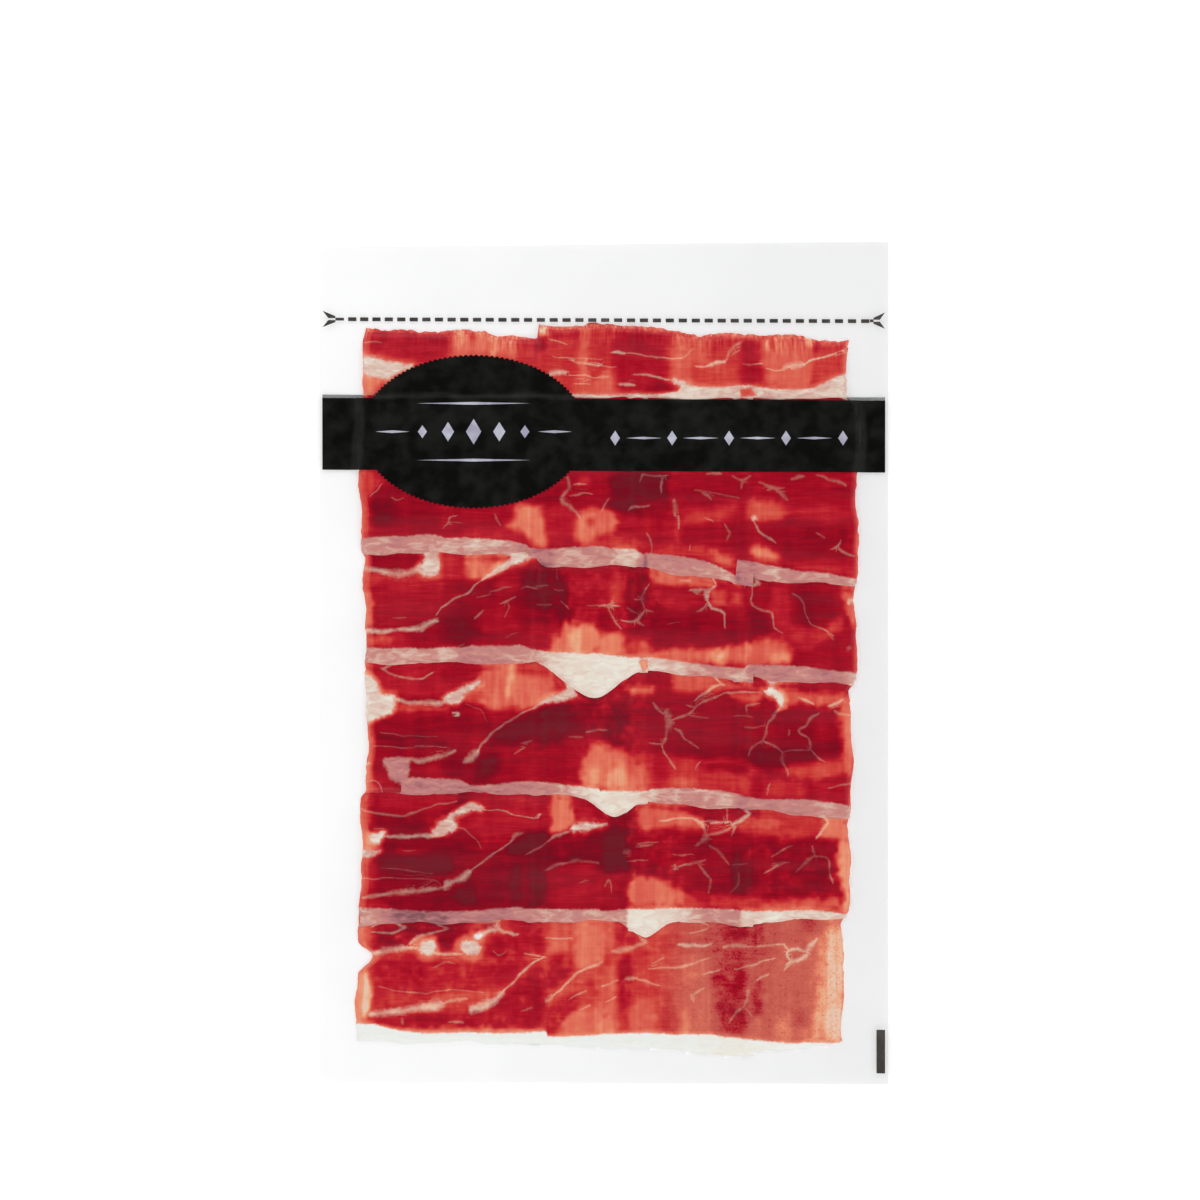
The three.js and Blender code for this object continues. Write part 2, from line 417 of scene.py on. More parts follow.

# For each row: how deep its lean is between the patches, from 0, pale orange, to 1, greyish wine;
# patches of lean, as their depth, how many millimetres their border fades over and their outline;
# the upper border of the fat strip; its tone along the row, from 0, cream, to 1, greyish mauve;
# patches of fat with their tone; patches of lean in the fat; and the veins of fat, as half their
# width in photo pixels, their strength and their course. A few short strong strokes among the
# veins are painted highlights, glints on the film's wrinkles.
ROW_DRAWINGS = ({
    "lean": 0.5,
    "patches": (
        (A1, 0.66, 1, (140, 70, 300, 50, 560, 35, 620, 50, 680, 110, 640, 200, 560, 270, 480, 280, 300,
         250, 140, 215)),
        (A1, 0.3, 1.2, (690, 50, 900, 60, 1050, 90, 1130, 110, 1100, 250, 900, 240, 700, 230, 650, 200)),
        (A1, 0.2, 0.5, (700, 60, 740, 60, 745, 150, 700, 150)),
        (A1, 0.1, 0.5, (915, 80, 960, 85, 955, 240, 915, 240)),
        (A1, 0.22, 0.4, (1040, 100, 1062, 100, 1062, 200, 1040, 200)),
        (A1, 0.5, 0.4, (780, 70, 830, 70, 820, 130, 785, 120)),
        (A1, 0.53, 0.6, (1080, 115, 1150, 115, 1150, 280, 1080, 260)),
        (A1, 0.73, 0.5, (1180, 120, 1260, 120, 1250, 210, 1185, 210)),
        (A1, 0.05, 0.4, (1200, 30, 1270, 30, 1270, 110, 1200, 115)),
        (A1, 0.3, 0.7, (1440, 40, 1490, 40, 1500, 470, 1440, 470)),
        (A1, 0.57, 0.6, (1290, 60, 1430, 50, 1430, 130, 1300, 140)),
        (A1, 0.38, 0.8, (1380, 390, 1568, 380, 1568, 470, 1400, 470)),
        (A1, 0.2, 0.5, (140, 320, 270, 375, 230, 430, 190, 465, 130, 465)),
        (B1, 0.28, 0.8, (-10, 300, 90, 300, 110, 425, -10, 435)),
        (B1, 0.66, 0.6, (70, 60, 380, 60, 400, 200, 400, 340, 480, 410, 100, 430, 90, 300, 60, 200)),
        (B1, 0.8, 0.8, (255, 340, 400, 345, 480, 412, 280, 420)),
        (B1, 0.74, 0.8, (150, 90, 260, 80, 260, 200, 160, 190)),
        (B1, 0.36, 0.8, (390, 95, 610, 90, 620, 250, 560, 365, 400, 340)),
        (B1, 0.24, 0.4, (425, 100, 450, 100, 450, 300, 425, 300)),
        (B1, 0.52, 0.8, (620, 95, 770, 95, 720, 200, 620, 230)),
        (B1, 0.44, 0.8, (500, 250, 760, 240, 770, 380, 500, 375)),
        (B1, 0.68, 0.7, (800, 120, 880, 110, 870, 250, 910, 360, 790, 385, 770, 300)),
        (B1, 0.3, 0.6, (905, 100, 1190, 100, 1180, 400, 950, 390, 900, 300)),
        (B1, 0.05, 0.3, (930, 115, 950, 115, 950, 195, 930, 195)),
        (B1, 0.1, 0.3, (982, 110, 1000, 110, 1000, 180, 982, 180)),
        (B1, 0.5, 0.3, (958, 110, 976, 110, 976, 185, 958, 185)),
        (B1, 0.08, 0.4, (1148, 95, 1178, 95, 1178, 165, 1148, 165)),
        (B1, 0.47, 0.7, (1190, 95, 1350, 105, 1410, 300, 1200, 385)),
        (B1, 0.64, 0.4, (1190, 100, 1218, 100, 1218, 190, 1190, 190)),
    ),
    "fat_top": (
        (B1, (-600, 432, 0, 432, 300, 430, 430, 420, 470, 375, 560, 387, 640, 387, 700, 388, 770, 380,
         840, 380, 900, 397, 1000, 404, 1150, 402, 1200, 391, 1300, 346, 1420, 300)),
    ),
    "fat_tones": (
        (B1, (-700, 0.3, 300, 0.35, 470, 0.22, 700, 0.25, 780, 0.35, 860, 0.3, 1000, 0.28, 1200, 0.3,
         1400, 0.25)),
    ),
    "fat_patches": (
        (B1, 0.25, (385, 342, 440, 350, 500, 372, 530, 402, 480, 412, 430, 375)),
        (A1, 0.24, (130, 230, 280, 255, 465, 280, 400, 320, 350, 345, 300, 375, 240, 365, 180, 335, 130,
         318)),
    ),
    "lean_patches": (
        (B1, 0.45, (780, 392, 830, 396, 875, 448, 785, 445)),
    ),
    "veins_and_glints": (
        (B1, 1, 0.8, (180, 325, 260, 322, 330, 338, 390, 345)),
        (B1, 1.3, 0.85, (65, 195, 110, 195, 140, 203)),
        (B1, 0.7, 0.7, (140, 203, 200, 212, 300, 225, 390, 240, 450, 235)),
        (B1, 1.2, 0.7, (0, 330, 50, 328)),
        (B1, 1.2, 0.8, (110, 378, 190, 388)),
        (B1, 0.6, 0.5, (0, 270, 90, 275)),
        (B1, 0.9, 0.8, (540, 272, 600, 265)),
        (B1, 1.6, 0.85, (600, 265, 650, 250, 700, 236)),
        (B1, 1.4, 0.6, (710, 225, 740, 160, 790, 130)),
        (B1, 1, 0.6, (740, 200, 775, 180)),
        (B1, 0.6, 0.7, (790, 258, 830, 268, 900, 266)),
        (B1, 0.7, 0.7, (920, 292, 1000, 295, 1030, 285)),
        (B1, 2.6, 0.85, (1015, 280, 1060, 265, 1140, 262)),
        (B1, 0.9, 0.85, (1150, 255, 1180, 238, 1270, 215, 1370, 182)),
        (B1, 0.6, 0.5, (1300, 212, 1385, 200)),
        (B1, 1, 0.5, (470, 230, 520, 180)),
        (A1, 0.5, 0.6, (140, 158, 250, 158)),
        (A1, 1.1, 0.8, (1370, 250, 1450, 275, 1580, 290)),
        (A1, 2, 0.85, (1255, 345, 1300, 328, 1370, 332)),
        (A1, 0.6, 0.6, (1370, 345, 1580, 358)),
        (A1, 0.6, 0.6, (1270, 135, 1320, 142, 1370, 160)),
        (A1, 0.6, 0.5, (1420, 402, 1510, 398)),
        (A1, 0.5, 0.5, (1290, 245, 1570, 255)),
    ),
}, {
    "lean": 0.64,
    "patches": (
        (A2, 0.76, 1.5, (265, 80, 620, 240, 640, 400, 400, 395, 200, 385, 160, 230)),
        (A2, 0.42, 0.5, (150, 0, 200, 0, 265, 85, 170, 185, 150, 185)),
        (A2, 0.45, 0.8, (100, 225, 160, 190, 190, 300, 200, 390, 100, 420)),
        (A2, 0.93, 1.6, (210, 190, 300, 215, 345, 290, 240, 350, 190, 270)),
        (A2, 0.66, 1.2, (180, 345, 620, 350, 620, 395, 180, 395)),
        (A2, 0.68, 0.8, (620, 245, 1060, 232, 1060, 300, 900, 330, 780, 350, 700, 405, 620, 400)),
        (A2, 0.54, 1, (800, 350, 1000, 345, 1120, 425, 900, 420, 720, 405)),
        (A2, 0.2, 0.8, (1060, 210, 1220, 175, 1240, 300, 1250, 465, 1160, 475, 1130, 420, 1080, 380, 980,
         335, 1060, 300)),
        (A2, 0.78, 0.8, (1120, 190, 1330, 105, 1350, 200, 1230, 215)),
        (A2, 0.58, 0.7, (1230, 215, 1380, 230, 1440, 330, 1420, 400, 1370, 460, 1250, 462)),
        (A2, 0.7, 1, (1330, 110, 1420, 30, 1580, 0, 1580, 225, 1400, 235)),
        (A2, 0.45, 0.8, (1440, 60, 1500, 60, 1500, 112, 1440, 112)),
        (A2, 0.72, 0.6, (1380, 170, 1450, 170, 1450, 225, 1380, 225)),
        (A2, 0.22, 0.9, (1420, 265, 1580, 225, 1580, 455, 1420, 450)),
        (A2, 0.45, 0.7, (1500, 300, 1570, 300, 1560, 350, 1500, 350)),
        (B2, 0.62, 0.8, (90, 260, 300, 250, 300, 430, 90, 400)),
        (B2, 0.24, 0.4, (-20, 235, 95, 235, 97, 385, -20, 400)),
        (B2, 0.45, 0.8, (-20, 395, 250, 400, 250, 462, -20, 458)),
        (B2, 0.93, 0.8, (40, 5, 395, 5, 402, 100, 398, 240, 300, 260, 60, 235, 60, 100)),
        (B2, 0.74, 0.8, (150, 185, 400, 175, 395, 262, 280, 262)),
        (B2, 0.7, 0.8, (404, 5, 1510, 5, 1500, 200, 1100, 200, 850, 170, 700, 150, 480, 205, 408, 235)),
        (B2, 0.76, 0.8, (480, 180, 560, 100, 760, 130, 800, 170, 600, 215)),
        (B2, 0.45, 0.9, (470, 235, 780, 200, 800, 240, 640, 310, 470, 320)),
        (B2, 0.36, 0.8, (850, 180, 950, 165, 1100, 200, 1130, 240, 1040, 300, 860, 300)),
        (B2, 0.56, 0.8, (1110, 215, 1400, 190, 1470, 260, 1380, 300, 1150, 300)),
        (B2, 0.72, 0.9, (455, 330, 880, 310, 880, 460, 600, 485, 455, 420)),
        (B2, 0.46, 0.6, (440, 280, 480, 280, 478, 430, 440, 430)),
        (B2, 0.5, 0.8, (300, 430, 620, 440, 620, 520, 300, 490)),
        (B2, 0.73, 1, (900, 310, 1450, 300, 1450, 530, 1100, 530, 960, 450)),
        (B2, 0.8, 1, (1150, 345, 1350, 340, 1350, 510, 1200, 510)),
        (B2, 0.2, 0.7, (868, 458, 960, 448, 1045, 520, 1000, 545, 880, 505)),
        (B2, 0.3, 0.8, (620, 475, 765, 480, 800, 580, 640, 535)),
        (B2, 0.5, 0.8, (1050, 545, 1490, 555, 1490, 630, 1150, 590)),
    ),
    "fat_top": (
        (A2, (100, 418, 200, 405, 330, 393, 400, 400, 520, 383, 590, 395, 640, 412, 900, 418, 1050, 432,
         1120, 450, 1150, 478, 1310, 475, 1568, 460)),
        (B2, (60, 455, 200, 462, 255, 490, 265, 480, 400, 495, 600, 530, 700, 570, 790, 612, 796, 520,
         900, 540, 1000, 560, 1150, 590, 1300, 600, 1500, 636)),
    ),
    "fat_tones": (
        (A2, (130, 0.5, 230, 0.52, 330, 0.6, 450, 0.52, 560, 0.5, 620, 0.42, 800, 0.42, 900, 0.4, 1000,
         0.5, 1100, 0.65, 1150, 0.55, 1190, 0.8, 1260, 0.75, 1310, 0.54, 1400, 0.5, 1560, 0.5)),
        (B2, (60, 0.5, 110, 0.3, 200, 0.3, 240, 0.6, 262, 0.95, 280, 0.55, 400, 0.6, 600, 0.6, 700, 0.45,
         780, 0.4, 796, 0.8, 860, 0.7, 990, 0.5, 1010, 0.4, 1100, 0.6, 1250, 0.54, 1400, 0.56, 1480, 0.4)),
    ),
    "fat_patches": (),
    "lean_patches": (),
    "veins_and_glints": (
        (A2, 0.6, 0.6, (265, 85, 230, 130, 195, 165)),
        (A2, 0.8, 0.6, (310, 175, 335, 195, 375, 178)),
        (A2, 0.7, 0.7, (710, 283, 670, 290, 655, 330, 625, 358)),
        (A2, 0.5, 0.5, (660, 325, 735, 325)),
        (A2, 1.6, 0.6, (1370, 60, 1388, 110, 1345, 175, 1360, 215, 1400, 240, 1445, 300)),
        (A2, 0.8, 0.6, (1420, 105, 1490, 98)),
        (A2, 0.8, 0.6, (1400, 165, 1440, 158, 1520, 150)),
        (A2, 0.8, 0.45, (920, 270, 960, 330)),
        (B2, 0.9, 0.75, (235, 70, 250, 32, 300, 35, 385, 28)),
        (B2, 0.9, 0.75, (355, 40, 348, 130)),
        (B2, 0.9, 0.75, (155, 222, 190, 205, 270, 215)),
        (B2, 0.8, 0.6, (20, 245, 55, 170)),
        (B2, 1.8, 0.7, (430, 175, 440, 215, 438, 265)),
        (B2, 0.8, 0.6, (455, 270, 462, 335)),
        (B2, 0.8, 0.6, (600, 130, 640, 172)),
        (B2, 0.8, 0.45, (715, 310, 750, 352, 738, 400)),
        (B2, 0.8, 0.5, (600, 275, 650, 300)),
        (B2, 2.6, 0.9, (912, 268, 905, 298)),
        (B2, 1.1, 0.75, (908, 298, 940, 380, 1000, 408, 1025, 430)),
        (B2, 1.1, 0.6, (1248, 360, 1290, 395)),
        (B2, 1.2, 0.75, (1392, 415, 1385, 450, 1350, 465)),
        (B2, 1, 0.7, (1385, 458, 1420, 485, 1475, 505)),
        (B2, 1.4, 0.6, (620, 32, 700, 24)),
        (B2, 1, 0.55, (770, 35, 820, 60, 860, 28)),
        (B2, 0.9, 0.5, (820, 60, 812, 110)),
        (B2, 1.5, 0.6, (1090, 45, 1170, 38)),
        (B2, 1.4, 0.6, (1255, 28, 1330, 60, 1430, 85)),
        (B2, 1.3, 0.55, (910, 62, 1000, 105, 1050, 130, 1085, 165)),
        (B2, 1, 0.5, (960, 112, 1050, 92)),
        (B2, 0.9, 0.5, (292, 485, 285, 400, 260, 365)),
        (B2, 0.7, 0.5, (518, 468, 530, 438)),
        (B2, 0.7, 0.4, (560, 120, 700, 150, 800, 172)),
    ),
}, {
    "lean": 0.7,
    "patches": (
        (A3, 0.5, 1, (110, 70, 640, 70, 640, 130, 300, 140, 210, 160, 120, 160)),
        (A3, 0.74, 0.5, (110, -30, 200, -40, 330, -60, 540, -60, 530, 0, 500, 35, 440, 55, 300, 50, 200,
         40, 110, 45)),
        (A2, 0.54, 0.5, (620, 515, 750, 515, 750, 670, 600, 660)),
        (A2, 0.36, 0.5, (595, 515, 625, 515, 620, 650, 595, 650)),
        (A2, 0.2, 0.6, (750, 525, 1010, 540, 960, 600, 860, 655, 755, 665)),
        (A3, 0.45, 0.8, (120, 75, 240, 85, 220, 150, 120, 160)),
        (A3, 0.72, 0.6, (620, 115, 860, 110, 760, 190, 650, 250, 600, 330, 560, 350, 560, 200)),
        (A3, 0.66, 0.8, (195, 180, 260, 145, 350, 120, 640, 110, 650, 200, 600, 320, 560, 350, 190, 405)),
        (A3, 0.58, 0.8, (330, 110, 640, 110, 640, 180, 300, 190)),
        (A3, 0.62, 1, (300, 250, 560, 240, 560, 320, 300, 330)),
        (A3, 0.27, 0.5, (110, 150, 195, 180, 195, 405, 110, 425)),
        (A3, 0.5, 0.6, (150, 105, 200, 110, 200, 175, 150, 170)),
        (A3, 0.78, 1, (590, 340, 760, 200, 940, 90, 1180, 60, 1390, 60, 1420, 380, 1250, 420, 700, 520,
         600, 510)),
        (A3, 0.62, 0.8, (120, 450, 400, 442, 600, 385, 700, 500, 600, 525, 120, 525)),
        (A3, 0.35, 0.6, (120, 465, 330, 470, 330, 495, 120, 520)),
        (A3, 0.72, 0.6, (400, 440, 600, 390, 640, 500, 420, 500)),
        (A3, 0.9, 1.2, (610, 380, 700, 300, 850, 380, 850, 460, 700, 520, 600, 480)),
        (A3, 0.66, 1.2, (850, 240, 1000, 255, 1080, 330, 1100, 440, 900, 460, 850, 400)),
        (A3, 0.62, 0.8, (920, 150, 1060, 100, 1110, 150, 1080, 190, 960, 190)),
        (A3, 0.95, 1.2, (1110, 55, 1385, 70, 1425, 350, 1380, 385, 1250, 330, 1110, 250, 1120, 150)),
        (A3, 0.82, 0.8, (1180, 310, 1380, 360, 1340, 380, 1180, 360)),
        (A3, 0.72, 0.6, (1385, 75, 1580, 70, 1580, 410, 1385, 390)),
        (A3, 0.68, 0.8, (1140, 385, 1335, 375, 1330, 545, 1200, 550, 1140, 500)),
        (A3, 0.22, 0.7, (1340, 370, 1420, 375, 1580, 410, 1580, 570, 1300, 570, 1290, 500)),
        (A3, 0.05, 0.6, (1400, 385, 1460, 390, 1460, 560, 1400, 560)),
        (B3, 0.7, 0.5, (-10, 80, 60, 95, 70, 255, -10, 265)),
        (B3, 0.8, 0.5, (-10, 285, 50, 290, 95, 425, -10, 405)),
        (B3, 0.5, 0.6, (60, 90, 175, 90, 170, 240, 100, 262, 68, 250)),
        (B3, 0.86, 0.7, (170, 40, 280, 40, 300, 150, 285, 280, 300, 400, 160, 430, 150, 300)),
        (B3, 0.72, 0.7, (90, 280, 180, 280, 180, 420, 110, 420)),
        (B3, 0.22, 0.6, (-10, 430, 140, 430, 150, 500, 140, 560, -10, 560)),
        (B3, 0.45, 0.6, (150, 430, 300, 470, 300, 560, 150, 560)),
        (B3, 0.28, 0.5, (235, 470, 265, 480, 265, 560, 235, 560)),
        (B3, 0.3, 0.6, (295, 70, 520, 80, 690, 150, 620, 168, 350, 168, 285, 110)),
        (B3, 0.78, 1.2, (290, 165, 600, 180, 600, 300, 720, 320, 860, 370, 860, 500, 600, 525, 300, 495,
         240, 360)),
        (B3, 0.65, 0.9, (340, 185, 560, 195, 570, 285, 360, 290)),
        (B3, 0.84, 1, (260, 320, 600, 330, 560, 480, 300, 480)),
        (B3, 0.38, 0.6, (640, 165, 830, 165, 840, 270, 700, 280, 645, 255)),
        (B3, 0.62, 0.5, (740, 165, 775, 165, 775, 275, 740, 275)),
        (B3, 0.64, 0.6, (840, 165, 885, 165, 885, 260, 840, 270)),
        (B3, 0.86, 0.7, (860, 285, 940, 295, 995, 385, 960, 475, 850, 480)),
        (B3, 0.72, 0.6, (885, 165, 1005, 165, 1005, 262, 890, 262)),
        (B3, 0.54, 0.7, (990, 165, 1110, 165, 1115, 400, 1000, 395, 985, 300)),
        (B3, 0.82, 0.8, (1110, 160, 1350, 190, 1375, 280, 1285, 392, 1120, 395)),
        (B3, 0.42, 0.6, (1285, 395, 1410, 320, 1390, 430, 1330, 445)),
        (B3, 0.5, 0.8, (1010, 395, 1280, 400, 1350, 445, 1180, 530, 1110, 480)),
        (B3, 0.68, 0.8, (1190, 530, 1380, 445, 1490, 430, 1490, 645, 1200, 625)),
        (B3, 0.32, 0.5, (1390, 180, 1500, 190, 1500, 425, 1410, 330)),
        (B3, 0.3, 0.7, (200, 545, 600, 505, 830, 500, 980, 460, 1105, 465, 1115, 605, 950, 612, 600, 600,
         300, 575)),
        (B3, 0.1, 0.6, (625, 520, 720, 520, 730, 590, 640, 595)),
        (B3, 0.12, 0.6, (1005, 535, 1100, 540, 1105, 605, 1010, 605)),
        (B3, 0.18, 0.5, (830, 495, 870, 500, 860, 570, 830, 570)),
    ),
    "fat_top": (
        (A3, (110, 530, 350, 533, 560, 530, 740, 525, 800, 515, 1080, 515, 1150, 540, 1290, 555, 1568,
         565)),
        (B3, (60, 556, 280, 566, 400, 581, 560, 600, 700, 616, 840, 632, 850, 606, 1000, 610, 1200, 620,
         1340, 640, 1480, 656)),
    ),
    "fat_tones": (
        (A3, (170, 0.5, 350, 0.42, 480, 0.52, 580, 0.5, 620, 0.35, 700, 0.4, 760, 0.68, 850, 0.6, 1000,
         0.5, 1100, 0.5, 1200, 0.42, 1300, 0.25, 1400, 0.14, 1560, 0.12)),
        (B3, (60, 0.1, 200, 0.14, 240, 0.32, 300, 0.2, 450, 0.3, 560, 0.5, 700, 0.62, 780, 0.45, 835,
         0.33, 870, 0.65, 1000, 0.68, 1200, 0.6, 1300, 0.72, 1400, 0.6, 1460, 0.4)),
    ),
    "fat_patches": (
        (A2, 0.28, (540, 490, 600, 515, 612, 580, 590, 640, 500, 642, 480, 600, 515, 575)),
        (A2, 0.25, (870, 645, 930, 600, 1010, 545, 1100, 505, 1190, 505, 1180, 520, 1100, 560, 980, 600)),
    ),
    "lean_patches": (
        (B3, 0.12, (215, 585, 265, 580, 275, 640, 240, 650)),
    ),
    "veins_and_glints": (
        (A3, 2.4, 0.85, (110, 52, 230, 66, 400, 76, 500, 62, 545, 30)),
        (A3, 0.8, 0.8, (590, 335, 620, 290, 640, 270, 700, 230, 760, 195, 800, 150, 850, 115)),
        (A3, 1.4, 0.85, (850, 115, 930, 80, 1000, 50)),
        (A3, 2, 0.9, (110, 432, 250, 440, 350, 430)),
        (A3, 1.9, 0.9, (350, 430, 450, 410, 520, 390, 598, 368)),
        (A3, 0.8, 0.7, (1110, 182, 1150, 168, 1190, 180)),
        (A3, 0.8, 0.6, (1190, 160, 1240, 155)),
        (A3, 0.8, 0.6, (1280, 182, 1345, 186)),
        (A3, 0.7, 0.7, (980, 255, 1020, 240, 1075, 230)),
        (A3, 0.8, 0.5, (1190, 272, 1255, 265)),
        (A3, 0.7, 0.5, (1330, 245, 1380, 290)),
        (A3, 1.3, 0.75, (800, 350, 850, 300)),
        (A3, 0.7, 0.5, (1010, 335, 1040, 290, 1028, 258)),
        (A3, 0.6, 0.5, (820, 215, 910, 203)),
        (A3, 0.6, 0.4, (920, 185, 1050, 165)),
        (A3, 0.7, 0.5, (1505, 282, 1565, 275)),
        (A3, 0.6, 0.4, (1010, 468, 1075, 448)),
        (A3, 0.6, 0.4, (330, 350, 410, 350)),
        (A3, 0.7, 0.45, (1300, 120, 1310, 60)),
        (A3, 0.8, 0.6, (720, 515, 745, 500)),
        (B3, 1, 0.75, (0, 273, 60, 268, 118, 268)),
        (B3, 1, 0.6, (55, 265, 90, 350, 125, 400)),
        (B3, 0.8, 0.5, (60, 262, 78, 238)),
        (B3, 0.9, 0.7, (292, 155, 262, 200, 245, 235, 270, 290)),
        (B3, 1, 0.75, (270, 290, 235, 330, 210, 355, 140, 350)),
        (B3, 0.8, 0.6, (175, 288, 225, 310)),
        (B3, 0.8, 0.6, (210, 355, 250, 375)),
        (B3, 0.8, 0.6, (262, 290, 300, 302)),
        (B3, 0.8, 0.6, (215, 235, 260, 235)),
        (B3, 1.2, 0.85, (672, 150, 640, 190, 625, 240)),
        (B3, 2.4, 0.9, (625, 190, 622, 245)),
        (B3, 1, 0.8, (622, 245, 655, 285, 710, 310, 730, 345, 722, 400)),
        (B3, 1.3, 0.85, (515, 185, 560, 182, 600, 180, 640, 185)),
        (B3, 1, 0.7, (622, 255, 600, 285, 565, 300)),
        (B3, 1, 0.8, (545, 195, 570, 205)),
        (B3, 0.9, 0.7, (886, 160, 884, 260, 930, 285, 985, 310, 990, 350, 1003, 392)),
        (B3, 1.8, 0.8, (1000, 95, 930, 120, 888, 152)),
        (B3, 0.8, 0.6, (1005, 400, 1060, 430)),
        (B3, 0.9, 0.6, (1112, 205, 1165, 240, 1182, 310)),
        (B3, 0.7, 0.65, (1182, 310, 1210, 362, 1280, 402, 1335, 445)),
        (B3, 1.7, 0.8, (1425, 262, 1440, 240, 1492, 215)),
        (B3, 0.6, 0.4, (390, 367, 450, 357)),
        (B3, 0.9, 0.6, (455, 130, 520, 130)),
        (B3, 0.8, 0.5, (820, 160, 840, 150)),
        (B3, 2.2, 0.6, (1430, 515, 1445, 520)),
        (B3, 0.8, 0.5, (1300, 430, 1340, 470)),
    ),
}, {
    "lean": 0.7,
    "patches": (
        (A4, 0.38, 1, (130, -60, 300, -90, 300, 200, 150, 260)),
        (A4, 0.6, 0.5, (175, -88, 350, -97, 600, -90, 760, -68, 812, -25, 740, 15, 640, 85, 500, 102, 330,
         80, 260, 40, 240, 15, 180, -45)),
        (A4, 0.7, 0.8, (520, -85, 760, -68, 800, -25, 700, 10, 600, -20)),
        (A4, 0.66, 0.6, (260, -85, 420, -95, 430, -30, 300, -30)),
        (A4, 0.4, 0.5, (320, 135, 650, 145, 700, 120, 740, 140, 640, 190, 330, 195)),
        (A4, 0.26, 0.6, (735, 85, 860, 15, 830, -60, 900, -100, 1250, -95, 1385, 45, 1250, 115, 1130, 180,
         900, 180, 735, 120)),
        (A4, 0.08, 0.5, (1005, -110, 1048, -110, 1048, 100, 1005, 100)),
        (A4, 0.55, 0.5, (1265, -30, 1385, 42, 1300, 75)),
        (A4, 0.42, 0.7, (740, 80, 880, 70, 880, 130, 740, 120)),
        (A4, 0.45, 0.7, (1060, -90, 1270, -80, 1270, -20, 1080, -40)),
        (A4, 0.84, 1, (640, 150, 770, 140, 870, 170, 920, 290, 850, 320, 700, 270)),
        (A4, 0.76, 1, (140, 300, 220, 240, 330, 200, 640, 187, 720, 220, 860, 260, 900, 320, 850, 385,
         750, 425, 650, 435, 400, 455, 220, 455, 150, 380)),
        (A4, 0.66, 0.6, (330, 190, 640, 188, 640, 225, 330, 235)),
        (A4, 0.68, 1.2, (590, 300, 760, 320, 760, 420, 590, 420)),
        (A4, 0.64, 0.8, (770, 320, 870, 320, 850, 385, 770, 400)),
        (A4, 0.7, 0.7, (640, 145, 860, 165, 880, 260, 780, 230, 640, 200)),
        (A4, 0.88, 0.5, (230, 325, 580, 350, 580, 365, 240, 345)),
        (A4, 0.86, 0.5, (230, 370, 640, 385, 640, 398, 240, 392)),
        (A4, 0.42, 0.5, (110, 310, 205, 275, 212, 610, 110, 620)),
        (A4, 0.12, 0.4, (140, 485, 195, 485, 195, 515, 140, 515)),
        (A4, 0.7, 0.6, (212, 410, 280, 460, 270, 560, 212, 600)),
        (A4, 0.68, 0.6, (415, 510, 600, 480, 730, 460, 750, 500, 745, 595, 415, 582)),
        (A4, 0.82, 0.8, (600, 470, 760, 470, 770, 520, 740, 592, 600, 560)),
        (A4, 0.76, 1, (740, 500, 940, 380, 1340, 380, 1380, 610, 1150, 610, 760, 620)),
        (A4, 0.95, 1.2, (800, 480, 920, 430, 1000, 480, 900, 590, 800, 605)),
        (A4, 0.68, 1, (950, 390, 1330, 385, 1360, 600, 1180, 600, 1000, 560)),
        (A4, 0.74, 0.7, (1150, 500, 1330, 450, 1350, 610, 1160, 610)),
        (A4, 0.95, 1, (900, 370, 960, 290, 1050, 245, 1200, 165, 1400, 112, 1590, 95, 1590, 300, 1370,
         345, 1300, 385, 1050, 380)),
        (A4, 0.86, 0.9, (1360, 120, 1590, 100, 1590, 290, 1480, 290)),
        (A4, 0.7, 0.5, (1345, 395, 1490, 350, 1460, 645, 1345, 620)),
        (A4, 0.28, 0.6, (1470, 420, 1590, 365, 1590, 650, 1445, 650)),
        (A4, 0.12, 0.8, (1490, 520, 1590, 500, 1590, 650, 1480, 640)),
        (A4, 0.62, 0.6, (235, 595, 300, 590, 375, 680, 290, 692, 235, 660)),
        (A4, 0.45, 0.8, (110, 610, 235, 620, 240, 700, 110, 700)),
        (A4, 0.6, 0.6, (540, 645, 760, 600, 790, 690, 560, 690)),
        (B4, 0.78, 0.8, (-10, 90, 130, 60, 300, 80, 300, 370, -10, 380)),
        (B4, 0.96, 0.5, (20, 130, 158, 120, 160, 375, 20, 370)),
        (B4, 0.24, 0.6, (120, 55, 300, 20, 310, 90, 230, 92)),
        (B4, 0.7, 0.5, (308, -30, 412, -30, 402, 92, 310, 95)),
        (B4, 0.35, 0.6, (412, -30, 910, -30, 925, 40, 780, 72, 640, 92, 420, 95)),
        (B4, 0.7, 0.5, (880, 5, 960, 5, 960, 30, 880, 30)),
        (B4, 0.76, 1, (162, 92, 600, 92, 780, 70, 1440, 140, 1440, 430, 1000, 480, 600, 455, 180, 385)),
        (B4, 0.72, 0.6, (180, 265, 340, 275, 345, 368, 200, 368)),
        (B4, 0.82, 0.8, (380, 340, 860, 370, 860, 470, 420, 440)),
        (B4, 0.9, 1, (815, 385, 1250, 385, 1250, 440, 1080, 480, 980, 520, 830, 500)),
        (B4, 0.72, 0.8, (1040, 150, 1340, 140, 1450, 200, 1440, 330, 1240, 330, 1150, 200)),
        (B4, 0.86, 0.6, (1250, 350, 1400, 360, 1400, 430, 1270, 440)),
        (B4, 0.3, 0.5, (1030, 40, 1200, 60, 1450, 70, 1450, 135, 1330, 150, 1200, 130, 1060, 145, 1040,
         100)),
        (B4, 0.34, 0.5, (760, 80, 900, 65, 940, 90, 900, 160, 780, 110)),
        (B4, 0.5, 0.9, (180, 395, 420, 445, 870, 475, 960, 560, 860, 660, 290, 630, 200, 540)),
        (B4, 0.78, 0.7, (570, 470, 860, 490, 860, 545, 620, 525)),
